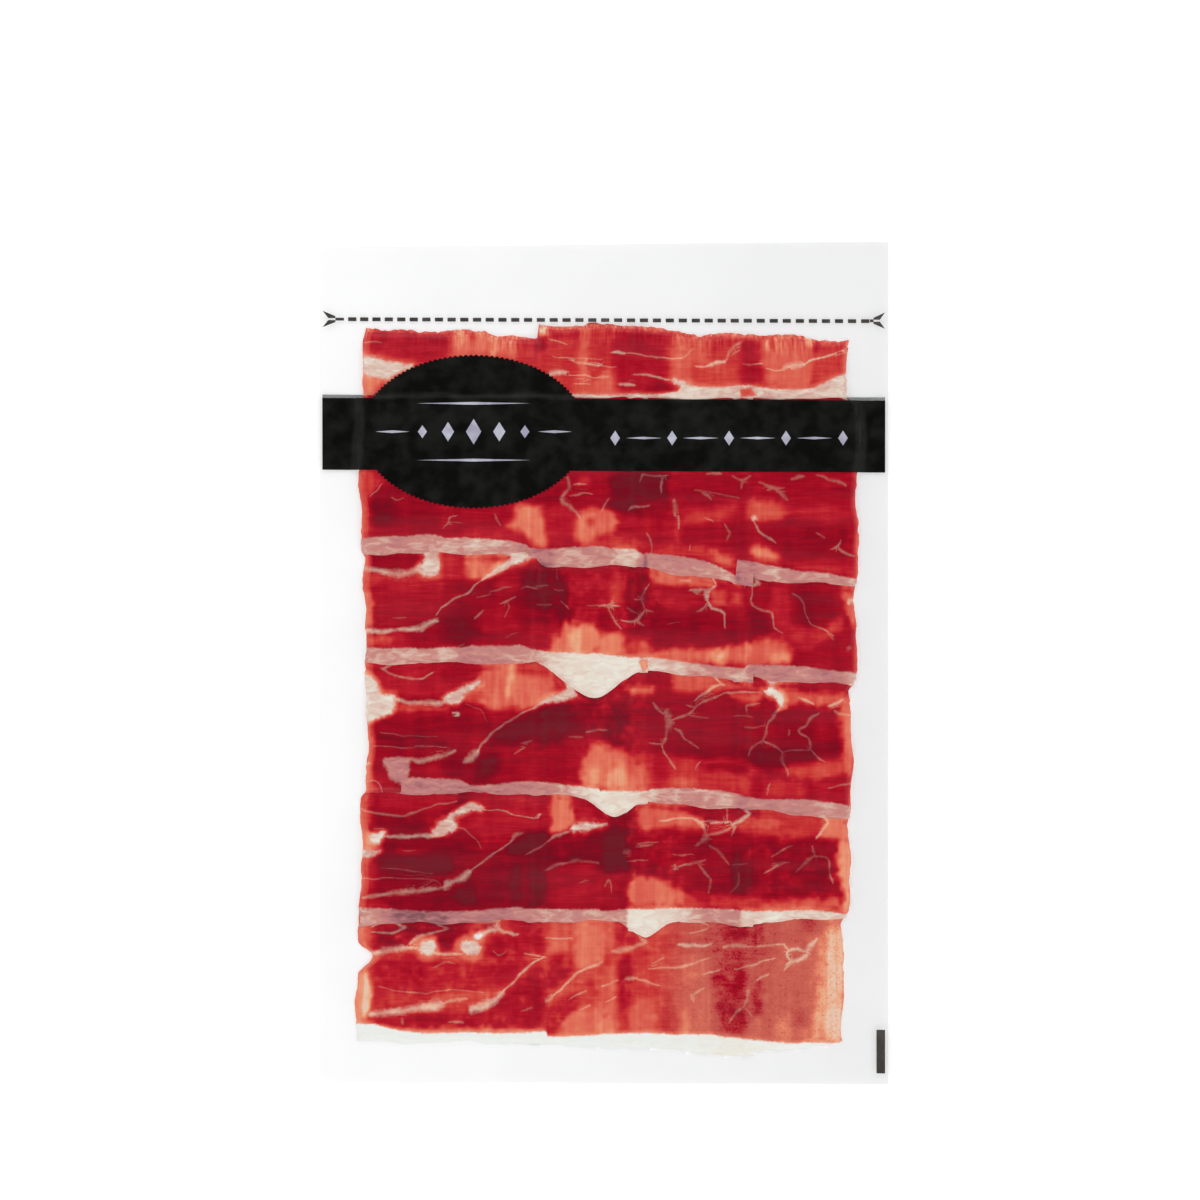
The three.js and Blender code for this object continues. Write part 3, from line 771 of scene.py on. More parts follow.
        (B4, 0.62, 0.6, (300, 440, 400, 455, 395, 575, 300, 570)),
        (B4, 0.68, 0.6, (862, 540, 945, 530, 935, 645, 862, 650)),
        (B4, 0.36, 0.8, (420, 560, 560, 560, 560, 625, 420, 625)),
        (B4, 0.27, 0.7, (-10, 375, 140, 398, 200, 480, 265, 540, 282, 645, -10, 650)),
        (B4, 0.1, 0.8, (50, 500, 150, 495, 160, 630, 40, 630)),
        (B4, 0.4, 0.6, (140, 440, 200, 480, 210, 560, 160, 540)),
        (B4, 0.52, 0.8, (940, 600, 1000, 555, 1215, 590, 1210, 690, 940, 680)),
        (B4, 0.44, 0.7, (760, 575, 860, 585, 860, 650, 760, 640)),
        (B4, 0.4, 0.8, (1050, 500, 1300, 450, 1460, 440, 1460, 540, 1230, 575, 1080, 555)),
        (B4, 0.66, 0.8, (1220, 625, 1440, 535, 1480, 600, 1480, 730, 1200, 690)),
        (B4, 0.3, 0.6, (1385, 90, 1480, 90, 1480, 560, 1400, 520)),
    ),
    "fat_top": (
        (A4, (110, 688, 372, 684, 384, 592, 480, 583, 600, 590, 730, 598, 790, 635, 900, 628, 1000, 618,
         1170, 610, 1280, 622, 1400, 640, 1560, 655)),
        (B4, (-5, 645, 280, 641, 300, 626, 560, 625, 700, 640, 860, 675, 900, 685, 1200, 690, 1300, 705,
         1480, 731)),
    ),
    "fat_tones": (
        (A4, (384, 0.66, 500, 0.64, 700, 0.72, 780, 0.78, 900, 0.7, 1100, 0.66, 1300, 0.52, 1400, 0.35,
         1560, 0.15)),
        (B4, (0, 0.12, 150, 0.15, 250, 0.25, 350, 0.45, 550, 0.5, 750, 0.45, 812, 0.72, 900, 0.56, 1000,
         0.62, 1200, 0.62, 1290, 0.42, 1400, 0.55, 1460, 0.42)),
    ),
    "fat_patches": (
        (A4, 0.2, (120, -70, 180, -45, 235, 20, 250, 80, 310, 105, 345, 140, 320, 190, 200, 245, 120, 270)),
        (A4, 0.05, (215, 90, 320, 92, 335, 140, 240, 155)),
        (A4, 0.3, (635, 92, 720, 50, 850, -12, 862, 20, 760, 70, 725, 125, 650, 140)),
        (A4, 0.28, (1190, 150, 1250, 100, 1330, 75, 1400, 48, 1400, 20, 1590, -10, 1590, 78, 1440, 100,
         1300, 130)),
        (A4, 0.66, (262, 468, 420, 466, 412, 600, 385, 645, 330, 612, 290, 560)),
        (A4, 0.02, (270, 712, 330, 722, 392, 698, 385, 722, 330, 746, 280, 738)),
        (B4, 0.12, (925, 52, 1010, 45, 1082, 100, 1045, 160, 1020, 105)),
    ),
    "lean_patches": (),
    "veins_and_glints": (
        (A4, 1, 0.75, (228, -88, 280, -53, 340, -23, 430, -9, 500, -13, 560, -48)),
        (A4, 1.6, 0.85, (330, 118, 450, 130, 600, 130, 645, 120)),
        # Painted highlights: these three short pale strokes are glints on the film's wrinkles, drawn as
        # veins.
        (A4, 1, 0.95, (655, 98, 668, 135)),
        (A4, 1.2, 0.95, (668, 188, 712, 198)),
        (A4, 0.8, 0.9, (672, 206, 708, 210)),
        (A4, 2.2, 0.85, (740, 488, 800, 450, 835, 415)),
        (A4, 0.9, 0.75, (835, 415, 860, 390, 900, 340, 950, 290, 1040, 240, 1110, 190, 1150, 165)),
        (A4, 1.5, 0.85, (1150, 165, 1200, 145, 1250, 110)),
        (A4, 1.7, 0.8, (275, 488, 400, 482, 500, 480, 600, 460, 700, 430)),
        (A4, 1.2, 0.6, (1090, 385, 1145, 374)),
        (A4, 0.9, 0.55, (1050, 442, 1105, 415)),
        (A4, 0.8, 0.4, (1380, 345, 1450, 340)),
        (A4, 1, 0.65, (1480, 310, 1568, 298)),
        (A4, 0.5, 0.4, (760, 140, 850, 190, 885, 250)),
        (A4, 0.5, 0.5, (250, 310, 330, 318, 400, 332, 590, 350)),
        (A4, 0.6, 0.55, (212, 395, 400, 402, 650, 408)),
        (A4, 0.7, 0.6, (150, 620, 200, 605, 240, 640, 260, 700)),
        (A4, 1.2, 0.8, (150, 500, 190, 500)),
        (A4, 0.9, 0.6, (550, 640, 620, 610)),
        (A4, 0.8, 0.5, (640, 700, 720, 690)),
        (B4, 1.1, 0.65, (310, 130, 340, 165, 372, 185)),
        (B4, 2.2, 0.7, (388, 170, 400, 240, 382, 300)),
        (B4, 1.6, 0.7, (382, 300, 370, 345, 350, 370)),
        (B4, 0.9, 0.75, (350, 370, 365, 410, 385, 440)),
        (B4, 0.8, 0.7, (285, 365, 350, 365)),
        (B4, 1.1, 0.7, (410, 230, 500, 202, 560, 160)),
        (B4, 1.2, 0.7, (560, 160, 620, 120, 690, 95)),
        (B4, 0.9, 0.65, (690, 95, 800, 75, 920, 62)),
        (B4, 0.8, 0.6, (560, 160, 490, 145)),
        (B4, 0.7, 0.55, (500, 205, 630, 222)),
        (B4, 1, 0.65, (430, 283, 470, 310, 490, 350)),
        (B4, 0.8, 0.65, (490, 350, 560, 392)),
        (B4, 1.3, 0.75, (545, 120, 620, 75, 660, 45, 700, 30)),
        (B4, 0.8, 0.6, (700, 30, 745, 38)),
        (B4, 1.3, 0.65, (1035, 160, 1000, 200, 968, 265)),
        (B4, 1.1, 0.7, (968, 265, 955, 340)),
        (B4, 1, 0.65, (955, 340, 890, 385, 862, 430)),
        (B4, 1, 0.7, (955, 340, 1010, 375, 1050, 410)),
        (B4, 1.2, 0.6, (1050, 410, 1045, 460, 1055, 500)),
        (B4, 0.9, 0.6, (1055, 500, 1080, 545)),
        (B4, 0.8, 0.6, (1060, 412, 1130, 402, 1220, 400)),
        (B4, 0.7, 0.5, (840, 270, 945, 265)),
        (B4, 0.9, 0.6, (1098, 285, 1092, 312)),
        (B4, 1.2, 0.7, (1270, 188, 1220, 215, 1190, 255)),
        (B4, 0.9, 0.65, (1190, 255, 1160, 290, 1212, 325)),
        (B4, 1.1, 0.7, (1212, 325, 1225, 390)),
        (B4, 0.8, 0.65, (1225, 390, 1260, 440, 1292, 460)),
        (B4, 0.9, 0.55, (850, 185, 855, 150, 920, 130)),
        (B4, 1.3, 0.75, (1165, 95, 1200, 110, 1235, 128)),
        (B4, 1.6, 0.8, (1330, 142, 1370, 125, 1412, 100)),
        (B4, 1.2, 0.7, (1370, 165, 1400, 185, 1455, 195)),
        (B4, 0.9, 0.5, (575, 468, 552, 505)),
        (B4, 1, 0.5, (390, 450, 425, 505)),
        (B4, 0.8, 0.5, (1340, 625, 1470, 592)),
        (B4, 0.9, 0.5, (980, 590, 960, 650)),
        (B4, 0.7, 0.4, (770, 215, 880, 210)),
        (B4, 0.9, 0.6, (0, 290, 40, 285)),
    ),
}, {
    "lean": 0.74,
    "patches": (
        (A5, 0.68, 0.8, (205, 60, 400, 40, 735, 5, 770, 80, 610, 95, 590, 180, 550, 230, 560, 262, 205,
         262)),
        (A5, 0.84, 0.8, (210, 130, 350, 165, 500, 140, 520, 190, 480, 250, 215, 255)),
        (A5, 0.62, 0.7, (420, 40, 700, 15, 720, 60, 560, 80, 430, 110)),
        (A5, 0.6, 0.7, (240, 40, 400, 60, 380, 130, 240, 110)),
        (A5, 0.45, 0.6, (100, 30, 200, 60, 205, 200, 100, 200)),
        (A5, 0.22, 0.6, (100, 200, 180, 230, 190, 310, 245, 345, 110, 375)),
        (A5, 0.84, 0.6, (730, 15, 790, 60, 740, 110, 690, 90)),
        (A5, 0.84, 1, (220, 290, 640, 282, 700, 330, 720, 480, 600, 530, 230, 530)),
        (A5, 0.78, 0.8, (350, 290, 640, 290, 640, 330, 500, 340, 350, 320)),
        (A5, 0.97, 1, (230, 385, 700, 385, 710, 480, 560, 505, 250, 485)),
        (A5, 0.8, 0.7, (190, 500, 580, 540, 600, 592, 350, 602, 200, 608)),
        (A5, 0.72, 0.7, (350, 330, 520, 345, 480, 380, 340, 380)),
        (A5, 0.56, 0.8, (100, 400, 200, 385, 225, 520, 210, 610, 100, 645)),
        (A5, 0.8, 0.8, (640, 240, 790, 270, 845, 330, 830, 420, 740, 490, 700, 400)),
        (A5, 0.86, 0.5, (700, 280, 750, 290, 760, 370, 700, 360)),
        (A5, 0.74, 0.9, (820, 300, 1050, 270, 960, 350, 840, 420)),
        (A5, 0.6, 0.8, (685, 165, 880, 122, 1250, 128, 1250, 255, 1110, 235, 1050, 270, 850, 302, 815,
         262, 705, 225)),
        (A5, 0.6, 0.6, (780, 60, 860, 40, 1250, 30, 1250, 130, 870, 125)),
        (A5, 0.54, 0.4, (1065, 30, 1110, 30, 1110, 160, 1065, 160)),
        (A5, 0.64, 0.5, (1190, 30, 1252, 28, 1252, 250, 1190, 240)),
        (A5, 0.7, 0.6, (730, 150, 830, 130, 820, 200, 740, 210)),
        (A5, 0.2, 0.35, (1252, 35, 1400, 50, 1420, 80, 1435, 195, 1300, 265, 1252, 255)),
        (A5, 0.62, 0.6, (1395, 70, 1470, 62, 1560, 180, 1450, 195)),
        (A5, 0.86, 1, (320, 645, 650, 602, 700, 570, 830, 490, 835, 705, 600, 725, 200, 705, 140, 665)),
        (A5, 0.97, 0.8, (700, 605, 820, 555, 830, 690, 700, 695)),
        (A5, 0.6, 0.6, (100, 640, 300, 670, 330, 705, 100, 705)),
        (A5, 0.78, 0.8, (330, 640, 560, 620, 560, 710, 340, 700)),
        (A5, 0.82, 0.9, (830, 480, 1030, 390, 1020, 710, 840, 712)),
        (A5, 0.98, 0.7, (990, 335, 1150, 235, 1250, 250, 1260, 290, 1130, 385, 1100, 405, 1020, 390)),
        (A5, 0.82, 0.6, (1020, 400, 1130, 390, 1250, 330, 1250, 710, 1020, 710)),
        (A5, 0.94, 0.5, (1025, 450, 1090, 440, 1090, 650, 1025, 640)),
        (A5, 0.94, 0.5, (1145, 480, 1240, 480, 1250, 695, 1145, 690)),
        (A5, 0.78, 0.4, (1095, 440, 1140, 430, 1140, 700, 1095, 700)),
        (A5, 0.9, 0.8, (1260, 330, 1290, 290, 1380, 250, 1590, 240, 1590, 425, 1350, 430, 1260, 470, 1135,
         390)),
        (A5, 0.8, 0.7, (1305, 345, 1390, 355, 1380, 415, 1310, 405)),
        (A5, 0.76, 0.7, (1290, 290, 1400, 262, 1500, 250, 1500, 290, 1300, 330)),
        (A5, 0.68, 0.7, (1258, 482, 1350, 450, 1590, 440, 1590, 722, 1258, 722)),
        (A5, 0.6, 0.8, (1330, 600, 1590, 560, 1590, 640, 1340, 660)),
        (B5, 0.88, 0.7, (-10, 235, 60, 170, 190, 150, 205, 230, 205, 485, -10, 485)),
        (B5, 0.97, 0.8, (20, 230, 180, 230, 180, 470, 20, 470)),
        (B5, 0.78, 0.6, (60, 140, 190, 145, 200, 230, 80, 210)),
        (B5, 0.3, 0.6, (200, 95, 350, 90, 560, 150, 640, 205, 460, 225, 300, 235, 225, 245, 205, 160)),
        (B5, 0.5, 0.7, (620, 180, 860, 150, 1120, 135, 1310, 170, 1265, 285, 900, 285, 800, 250, 640, 250)),
        (B5, 0.36, 0.6, (870, 160, 1000, 150, 1100, 180, 1000, 230, 880, 220)),
        (B5, 0.55, 0.5, (1020, 140, 1130, 140, 1150, 170, 1040, 170)),
        (B5, 0.22, 0.5, (1300, 175, 1470, 180, 1460, 295, 1260, 292)),
        (B5, 0.82, 0.8, (220, 255, 460, 222, 600, 250, 850, 262, 1180, 292, 1405, 290, 1405, 625, 800,
         605, 560, 562, 400, 542, 205, 482)),
        (B5, 0.95, 0.8, (760, 350, 900, 380, 900, 605, 760, 590)),
        (B5, 0.74, 0.7, (570, 330, 740, 350, 740, 540, 600, 560, 560, 450)),
        (B5, 0.78, 0.8, (220, 260, 345, 255, 345, 460, 225, 465)),
        (B5, 0.76, 0.8, (340, 340, 560, 330, 580, 520, 450, 520, 350, 480)),
        (B5, 0.86, 0.8, (1080, 400, 1350, 400, 1350, 615, 1100, 610)),
        (B5, 0.72, 0.5, (1375, 300, 1415, 300, 1415, 600, 1360, 560)),
        (B5, 0.74, 0.7, (650, 255, 860, 265, 860, 320, 660, 310)),
        (B5, 0.27, 0.6, (168, 498, 300, 510, 420, 540, 525, 595, 500, 665, 300, 685, 165, 685)),
        (B5, 0.46, 0.7, (500, 590, 800, 622, 1400, 640, 1400, 705, 800, 700, 500, 680)),
        (B5, 0.34, 0.6, (940, 640, 1400, 645, 1400, 705, 940, 705)),
        (B5, 0.6, 0.5, (560, 560, 640, 580, 640, 650, 560, 640)),
        (B5, 0.55, 0.5, (840, 640, 930, 640, 930, 690, 840, 690)),
        (B5, 0.65, 0.4, (-10, 488, 150, 500, 163, 695, -10, 700)),
        (B5, 0.72, 0.4, (100, 500, 155, 505, 155, 690, 110, 690)),
        (B5, 0.12, 0.5, (1375, 285, 1480, 285, 1470, 735, 1395, 720, 1415, 600)),
    ),
    "fat_top": (
        (A5, (80, 705, 250, 705, 330, 712, 450, 722, 600, 728, 720, 730, 900, 715, 1080, 702, 1130, 715,
         1560, 715)),
        (B5, (0, 700, 155, 691, 300, 688, 430, 680, 600, 680, 740, 690, 900, 700, 1200, 695, 1400, 716,
         1460, 726)),
    ),
    "fat_tones": (
        (A5, (110, 0.42, 250, 0.55, 320, 0.8, 450, 0.95, 600, 0.9, 700, 0.72, 850, 0.76, 1000, 0.8, 1080,
         0.62, 1150, 0.6, 1250, 0.48, 1400, 0.5, 1560, 0.42)),
        (B5, (0, 0.5, 140, 0.52, 165, 0.14, 300, 0.12, 450, 0.2, 540, 0.35, 620, 0.56, 700, 0.6, 790,
         0.55, 830, 0.25, 1000, 0.17, 1200, 0.22, 1380, 0.25)),
    ),
    "fat_patches": (
        (A5, 0.2, (185, 252, 272, 244, 262, 272, 212, 312, 168, 292)),
        (A5, 0.32, (100, 362, 250, 343, 205, 390, 100, 394)),
        (A5, 0.32, (588, 182, 640, 150, 760, 88, 850, 94, 862, 125, 760, 137, 682, 160, 705, 210, 650,
         262, 558, 262, 548, 232, 590, 210)),
        (A5, 0.3, (1375, 240, 1425, 203, 1590, 195, 1590, 225, 1440, 240)),
    ),
    "lean_patches": (),
    "veins_and_glints": (
        (A5, 0.9, 0.7, (130, 105, 230, 130, 350, 155, 450, 130, 550, 85, 700, 58)),
        (A5, 1.3, 0.85, (255, 275, 400, 266, 560, 264, 640, 266)),
        (A5, 0.7, 0.7, (860, 122, 980, 118, 1040, 138, 1190, 160)),
        (A5, 1.2, 0.9, (1190, 145, 1198, 145)),
        (A5, 1.1, 0.9, (1035, 135, 1042, 138)),
        (A5, 0.9, 0.75, (810, 480, 880, 420, 950, 360, 1030, 300)),
        (A5, 1.4, 0.75, (1030, 300, 1060, 265, 1120, 245)),
        (A5, 3, 0.85, (600, 588, 650, 570, 690, 555)),
        (A5, 2.4, 0.85, (690, 555, 750, 530, 805, 482)),
        (A5, 1.7, 0.8, (140, 645, 200, 635, 270, 625)),
        (A5, 2.2, 0.8, (270, 625, 400, 605, 500, 600, 600, 592)),
        (A5, 0.8, 0.7, (1130, 382, 1200, 340, 1250, 305)),
        (A5, 1.2, 0.8, (1250, 305, 1300, 270, 1380, 245)),
        (A5, 1.4, 0.65, (1240, 482, 1290, 455, 1370, 435)),
        (A5, 1.2, 0.6, (1370, 435, 1450, 420, 1568, 430)),
        (A5, 0.6, 0.55, (260, 462, 400, 485, 560, 500)),
        (A5, 0.5, 0.5, (260, 530, 540, 535, 610, 570)),
        (A5, 0.6, 0.45, (700, 215, 760, 240, 800, 290)),
        (A5, 0.5, 0.4, (810, 300, 840, 340)),
        (A5, 0.8, 0.4, (390, 360, 450, 350)),
        (A5, 0.6, 0.6, (120, 530, 330, 530)),
        (A5, 0.8, 0.4, (1450, 560, 1500, 545)),
        (A5, 0.6, 0.5, (210, 225, 260, 225)),
        (A5, 0.8, 0.5, (470, 590, 560, 540)),
        (B5, 1, 0.75, (345, 180, 450, 170, 525, 165)),
        (B5, 1.6, 0.75, (525, 165, 580, 185, 610, 215)),
        (B5, 1.8, 0.65, (610, 215, 620, 250, 600, 290)),
        (B5, 1.2, 0.6, (600, 290, 560, 312)),
        (B5, 1, 0.85, (640, 188, 760, 182)),
        (B5, 1.6, 0.85, (770, 200, 820, 180, 870, 135)),
        (B5, 1.1, 0.75, (800, 212, 768, 262)),
        (B5, 1.2, 0.65, (620, 242, 700, 235, 800, 208)),
        (B5, 1.2, 0.6, (640, 305, 700, 360, 745, 425)),
        (B5, 1, 0.7, (430, 462, 520, 430, 605, 395)),
        (B5, 1.4, 0.7, (434, 445, 438, 465)),
        (B5, 1.1, 0.65, (560, 420, 600, 470, 640, 505)),
        (B5, 1.1, 0.6, (640, 505, 640, 580)),
        (B5, 0.6, 0.5, (225, 307, 325, 300)),
        (B5, 0.6, 0.5, (150, 417, 285, 415)),
        (B5, 0.7, 0.55, (220, 325, 300, 320)),
        (B5, 0.8, 0.5, (440, 375, 540, 370)),
        (B5, 0.8, 0.6, (1115, 332, 1060, 350, 1008, 385)),
        (B5, 0.9, 0.65, (960, 475, 1040, 430, 1110, 412)),
        (B5, 1.2, 0.65, (1240, 335, 1252, 380)),
        (B5, 1, 0.65, (1252, 380, 1190, 410, 1140, 462)),
        (B5, 0.9, 0.6, (1252, 380, 1330, 410, 1342, 470)),
        (B5, 1, 0.7, (1345, 480, 1355, 550)),
        (B5, 1.6, 0.8, (1335, 80, 1335, 190)),
        (B5, 1.5, 0.8, (1330, 190, 1295, 230, 1262, 285)),
        (B5, 0.8, 0.5, (25, 560, 60, 520, 70, 600)),
        (B5, 0.8, 0.4, (770, 432, 850, 425)),
        (B5, 0.9, 0.4, (755, 590, 795, 540, 800, 480)),
        (B5, 2.2, 0.5, (140, 362, 175, 352)),
        (B5, 0.8, 0.5, (580, 170, 720, 185)),
        (B5, 0.8, 0.5, (745, 140, 745, 165)),
        (B5, 0.6, 0.4, (1010, 420, 1080, 410)),
    ),
}, {
    "lean": 0.42,
    "patches": (
        (A6, 0.84, 0.6, (190, 185, 210, 140, 300, 90, 620, 120, 700, 120, 760, 130, 720, 200, 690, 265,
         590, 255, 570, 170, 430, 200, 400, 255, 290, 272, 190, 265)),
        (A6, 0.86, 0.6, (560, 170, 620, 150, 760, 130, 960, 112, 900, 150, 800, 172, 720, 205, 690, 262,
         600, 252)),
        (A6, 0.7, 0.6, (290, 100, 370, 110, 330, 160, 280, 165)),
        (A6, 0.64, 0.7, (985, 95, 1260, 95, 1260, 300, 1150, 292, 1090, 335, 850, 360, 865, 262, 830, 230,
         870, 180, 1050, 172)),
        (A6, 0.7, 0.7, (880, 185, 1100, 180, 1090, 330, 880, 340)),
        (A6, 0.42, 0.6, (90, 155, 200, 180, 205, 265, 90, 245)),
        (A6, 0.6, 0.8, (190, 310, 440, 288, 540, 325, 830, 345, 1240, 300, 1020, 470, 850, 530, 600, 560,
         380, 610, 190, 630)),
        (A6, 0.74, 0.8, (370, 325, 510, 330, 505, 490, 380, 470)),
        (A6, 0.68, 0.7, (200, 330, 370, 320, 370, 470, 210, 450)),
        (A6, 0.64, 0.6, (560, 330, 620, 330, 620, 470, 560, 460)),
        (A6, 0.7, 0.8, (860, 340, 1100, 330, 1060, 420, 860, 430)),
        (A6, 0.54, 0.7, (230, 495, 640, 548, 400, 600, 200, 625)),
        (A6, 0.38, 0.7, (560, 540, 880, 525, 920, 560, 780, 580, 600, 600)),
        (A6, 0.04, 0.3, (70, 395, 188, 395, 192, 660, 70, 720)),
        (A6, 0.67, 0.6, (185, 672, 640, 645, 880, 622, 1000, 525, 1240, 325, 1255, 760, 700, 770, 350,
         760, 185, 715)),
        (A6, 0.74, 0.6, (200, 672, 370, 665, 370, 705, 230, 700)),
        (A6, 0.74, 0.6, (390, 665, 640, 650, 640, 712, 400, 715)),
        (A6, 0.72, 0.9, (1000, 520, 1220, 350, 1240, 560, 1000, 600)),
        (A6, 0.7, 0.8, (1000, 600, 1240, 560, 1240, 700, 1020, 700)),
        (A6, 0.28, 0.4, (100, 690, 200, 705, 350, 742, 560, 742, 700, 728, 1240, 738, 1255, 790, 450, 790,
         250, 750)),
        (A6, 0.5, 0.5, (180, 668, 375, 675, 370, 690, 185, 690)),
        (A6, 0.42, 0.5, (1252, 95, 1400, 95, 1402, 300, 1252, 298)),
        (A6, 0.34, 0.4, (1260, 200, 1370, 205, 1370, 285, 1260, 285)),
        (A6, 0.7, 0.6, (1255, 295, 1405, 295, 1412, 405, 1260, 530)),
        (A6, 0.66, 0.6, (1252, 600, 1440, 525, 1430, 690, 1290, 790, 1252, 790)),
        (A6, 0.6, 0.5, (1260, 680, 1400, 690, 1400, 760, 1260, 780)),
        (A6, 0.26, 0.5, (1402, 95, 1590, 95, 1590, 330, 1480, 395, 1412, 375)),
        (A6, 0.5, 0.7, (1440, 410, 1590, 345, 1590, 620, 1430, 630)),
        (A6, 0.28, 0.7, (1415, 625, 1590, 600, 1590, 800, 1300, 800)),
        (B6, 0.56, 0.8, (60, 120, 170, 110, 255, 190, 200, 235, 90, 235)),
        (B6, 0.68, 0.8, (110, 300, 205, 262, 212, 400, 192, 600, 130, 650, 105, 500)),
        (B6, 0.3, 0.8, (-10, 100, 60, 120, 90, 240, -10, 260)),
        (B6, 0.32, 0.8, (-10, 350, 100, 330, 100, 740, -10, 745)),
        (B6, 0.18, 0.6, (-10, 640, 80, 650, 80, 745, -10, 745)),
        (B6, 0.52, 1, (210, 222, 430, 150, 640, 120, 700, 130, 950, 110, 960, 235, 860, 255, 640, 235,
         430, 265, 300, 310, 215, 360)),
        (B6, 0.44, 0.9, (210, 300, 430, 290, 440, 420, 330, 440, 220, 420)),
        (B6, 0.72, 1, (690, 125, 950, 110, 955, 230, 700, 215)),
        (B6, 0.46, 0.8, (450, 140, 600, 130, 600, 200, 460, 215)),
        (B6, 0.42, 0.8, (960, 120, 1200, 105, 1250, 200, 1080, 235, 970, 225)),
        (B6, 0.62, 0.7, (1190, 105, 1260, 105, 1270, 150, 1200, 170)),
        (B6, 0.3, 0.9, (430, 300, 650, 280, 650, 450, 450, 480)),
        (B6, 0.46, 0.8, (560, 180, 700, 180, 690, 290, 560, 290)),
        (B6, 0.6, 0.9, (660, 185, 960, 205, 960, 345, 850, 340, 660, 345)),
        (B6, 0.72, 1, (650, 350, 850, 330, 862, 640, 835, 720, 690, 710, 660, 560)),
        (B6, 0.76, 0.8, (745, 430, 815, 430, 815, 640, 740, 630)),
        (B6, 0.7, 0.9, (868, 430, 965, 435, 955, 640, 870, 680)),
        (B6, 0.55, 0.5, (818, 480, 866, 480, 866, 700, 820, 700)),
        (B6, 0.66, 0.7, (690, 640, 830, 640, 830, 760, 700, 750)),
        (B6, 0.32, 0.8, (455, 480, 650, 465, 655, 700, 640, 745, 455, 750)),
        (B6, 0.14, 0.7, (450, 600, 520, 590, 520, 740, 455, 745)),
        (B6, 0.52, 0.8, (340, 510, 445, 495, 445, 745, 335, 745)),
        (B6, 0.5, 0.7, (200, 460, 350, 480, 390, 560, 330, 570, 220, 540)),
        (B6, 0.32, 0.8, (200, 565, 335, 575, 335, 745, 130, 745)),
        (B6, 0.5, 0.5, (130, 620, 180, 620, 180, 740, 130, 740)),
        (B6, 0.38, 0.9, (960, 250, 1280, 200, 1260, 600, 1220, 790, 950, 770)),
        (B6, 0.36, 0.8, (1120, 380, 1230, 380, 1220, 560, 1130, 560)),
        (B6, 0.2, 0.7, (1030, 640, 1110, 640, 1110, 790, 1030, 780)),
        (B6, 0.54, 0.6, (1130, 600, 1210, 600, 1205, 700, 1130, 700)),
        (B6, 0.36, 0.7, (870, 680, 960, 650, 960, 775, 870, 770)),
        (B6, 0.3, 0.7, (1110, 700, 1220, 700, 1220, 795, 1110, 795)),
        (B6, 0.16, 1.4, (1245, 170, 1330, 150, 1290, 790, 1205, 790, 1235, 500)),
        (B6, 0.04, 1.6, (1310, 130, 1480, 100, 1460, 400, 1420, 520, 1450, 810, 1260, 800, 1270, 500,
         1290, 300)),
    ),
    "fat_top": (
        (A6, (60, 712, 200, 712, 350, 750, 450, 765, 650, 771, 700, 765, 1000, 768, 1240, 756, 1252, 786,
         1400, 791, 1560, 781)),
        (B6, (0, 745, 130, 742, 260, 740, 440, 750, 640, 745, 720, 765, 900, 777, 1100, 796, 1400, 801)),
    ),
    "fat_tones": (
        (A6, (60, 0, 1560, 0)),
        (B6, (0, 0, 600, 0.02, 700, 0.06, 900, 0.04, 1100, 0, 1400, 0)),
    ),
    "fat_patches": (
        (A6, 0.2, (470, 222, 560, 212, 578, 262, 545, 300, 500, 300, 466, 268)),
        (A6, 0.26, (740, 215, 800, 200, 838, 238, 838, 285, 800, 302, 760, 290, 735, 258)),
        (A6, 0, (798, 172, 845, 168, 838, 198, 805, 200)),
    ),
    "lean_patches": (),
    "veins_and_glints": (
        (A6, 1.1, 0.8, (195, 165, 320, 170, 380, 140, 415, 130)),
        (A6, 1.4, 0.8, (420, 238, 450, 205, 500, 178, 600, 150)),
        (A6, 1, 0.75, (600, 150, 700, 125, 780, 112)),
        (A6, 1.9, 0.85, (830, 185, 900, 150, 975, 140)),
        (A6, 2, 0.8, (950, 118, 985, 158)),
        (A6, 1.2, 0.8, (985, 158, 1090, 172)),
        (A6, 2, 0.85, (190, 296, 290, 280, 400, 264, 450, 262)),
        (A6, 1.5, 0.8, (560, 278, 650, 285, 745, 295)),
        (A6, 3.4, 0.92, (790, 632, 860, 608, 920, 582, 960, 548)),
        (A6, 2, 0.85, (960, 548, 1000, 500)),
        (A6, 1, 0.8, (1000, 495, 1050, 445, 1120, 390, 1180, 340, 1240, 303)),
        (A6, 3, 0.9, (185, 648, 300, 640, 400, 628)),
        (A6, 3.6, 0.9, (400, 628, 500, 608, 600, 603, 640, 600)),
        (A6, 1.4, 0.6, (650, 596, 760, 572)),
        (A6, 2.2, 0.7, (1240, 575, 1280, 545)),
        (A6, 1.1, 0.75, (1280, 545, 1400, 440, 1470, 392)),
        (A6, 1.2, 0.7, (1470, 392, 1568, 335)),
        (A6, 1, 0.65, (1380, 572, 1475, 520)),
        (A6, 0.8, 0.6, (1255, 190, 1390, 205)),
        (A6, 0.9, 0.65, (1130, 282, 1240, 300)),
        (A6, 0.8, 0.55, (920, 270, 950, 285, 985, 265)),
        (A6, 0.6, 0.5, (230, 490, 400, 518, 700, 520, 860, 530)),
        (A6, 1, 0.45, (560, 370, 620, 345, 680, 350)),
        (A6, 0.9, 0.5, (1100, 630, 1150, 610)),
        (A6, 0.8, 0.5, (1440, 640, 1500, 600)),
        (A6, 1.2, 0.6, (370, 680, 378, 712)),
        (A6, 1, 0.6, (640, 705, 740, 700)),
        (B6, 1.6, 0.85, (445, 240, 520, 235, 640, 210)),
        (B6, 1.7, 0.7, (720, 242, 780, 228, 860, 240)),
        (B6, 1, 0.7, (860, 240, 950, 240, 1060, 236)),
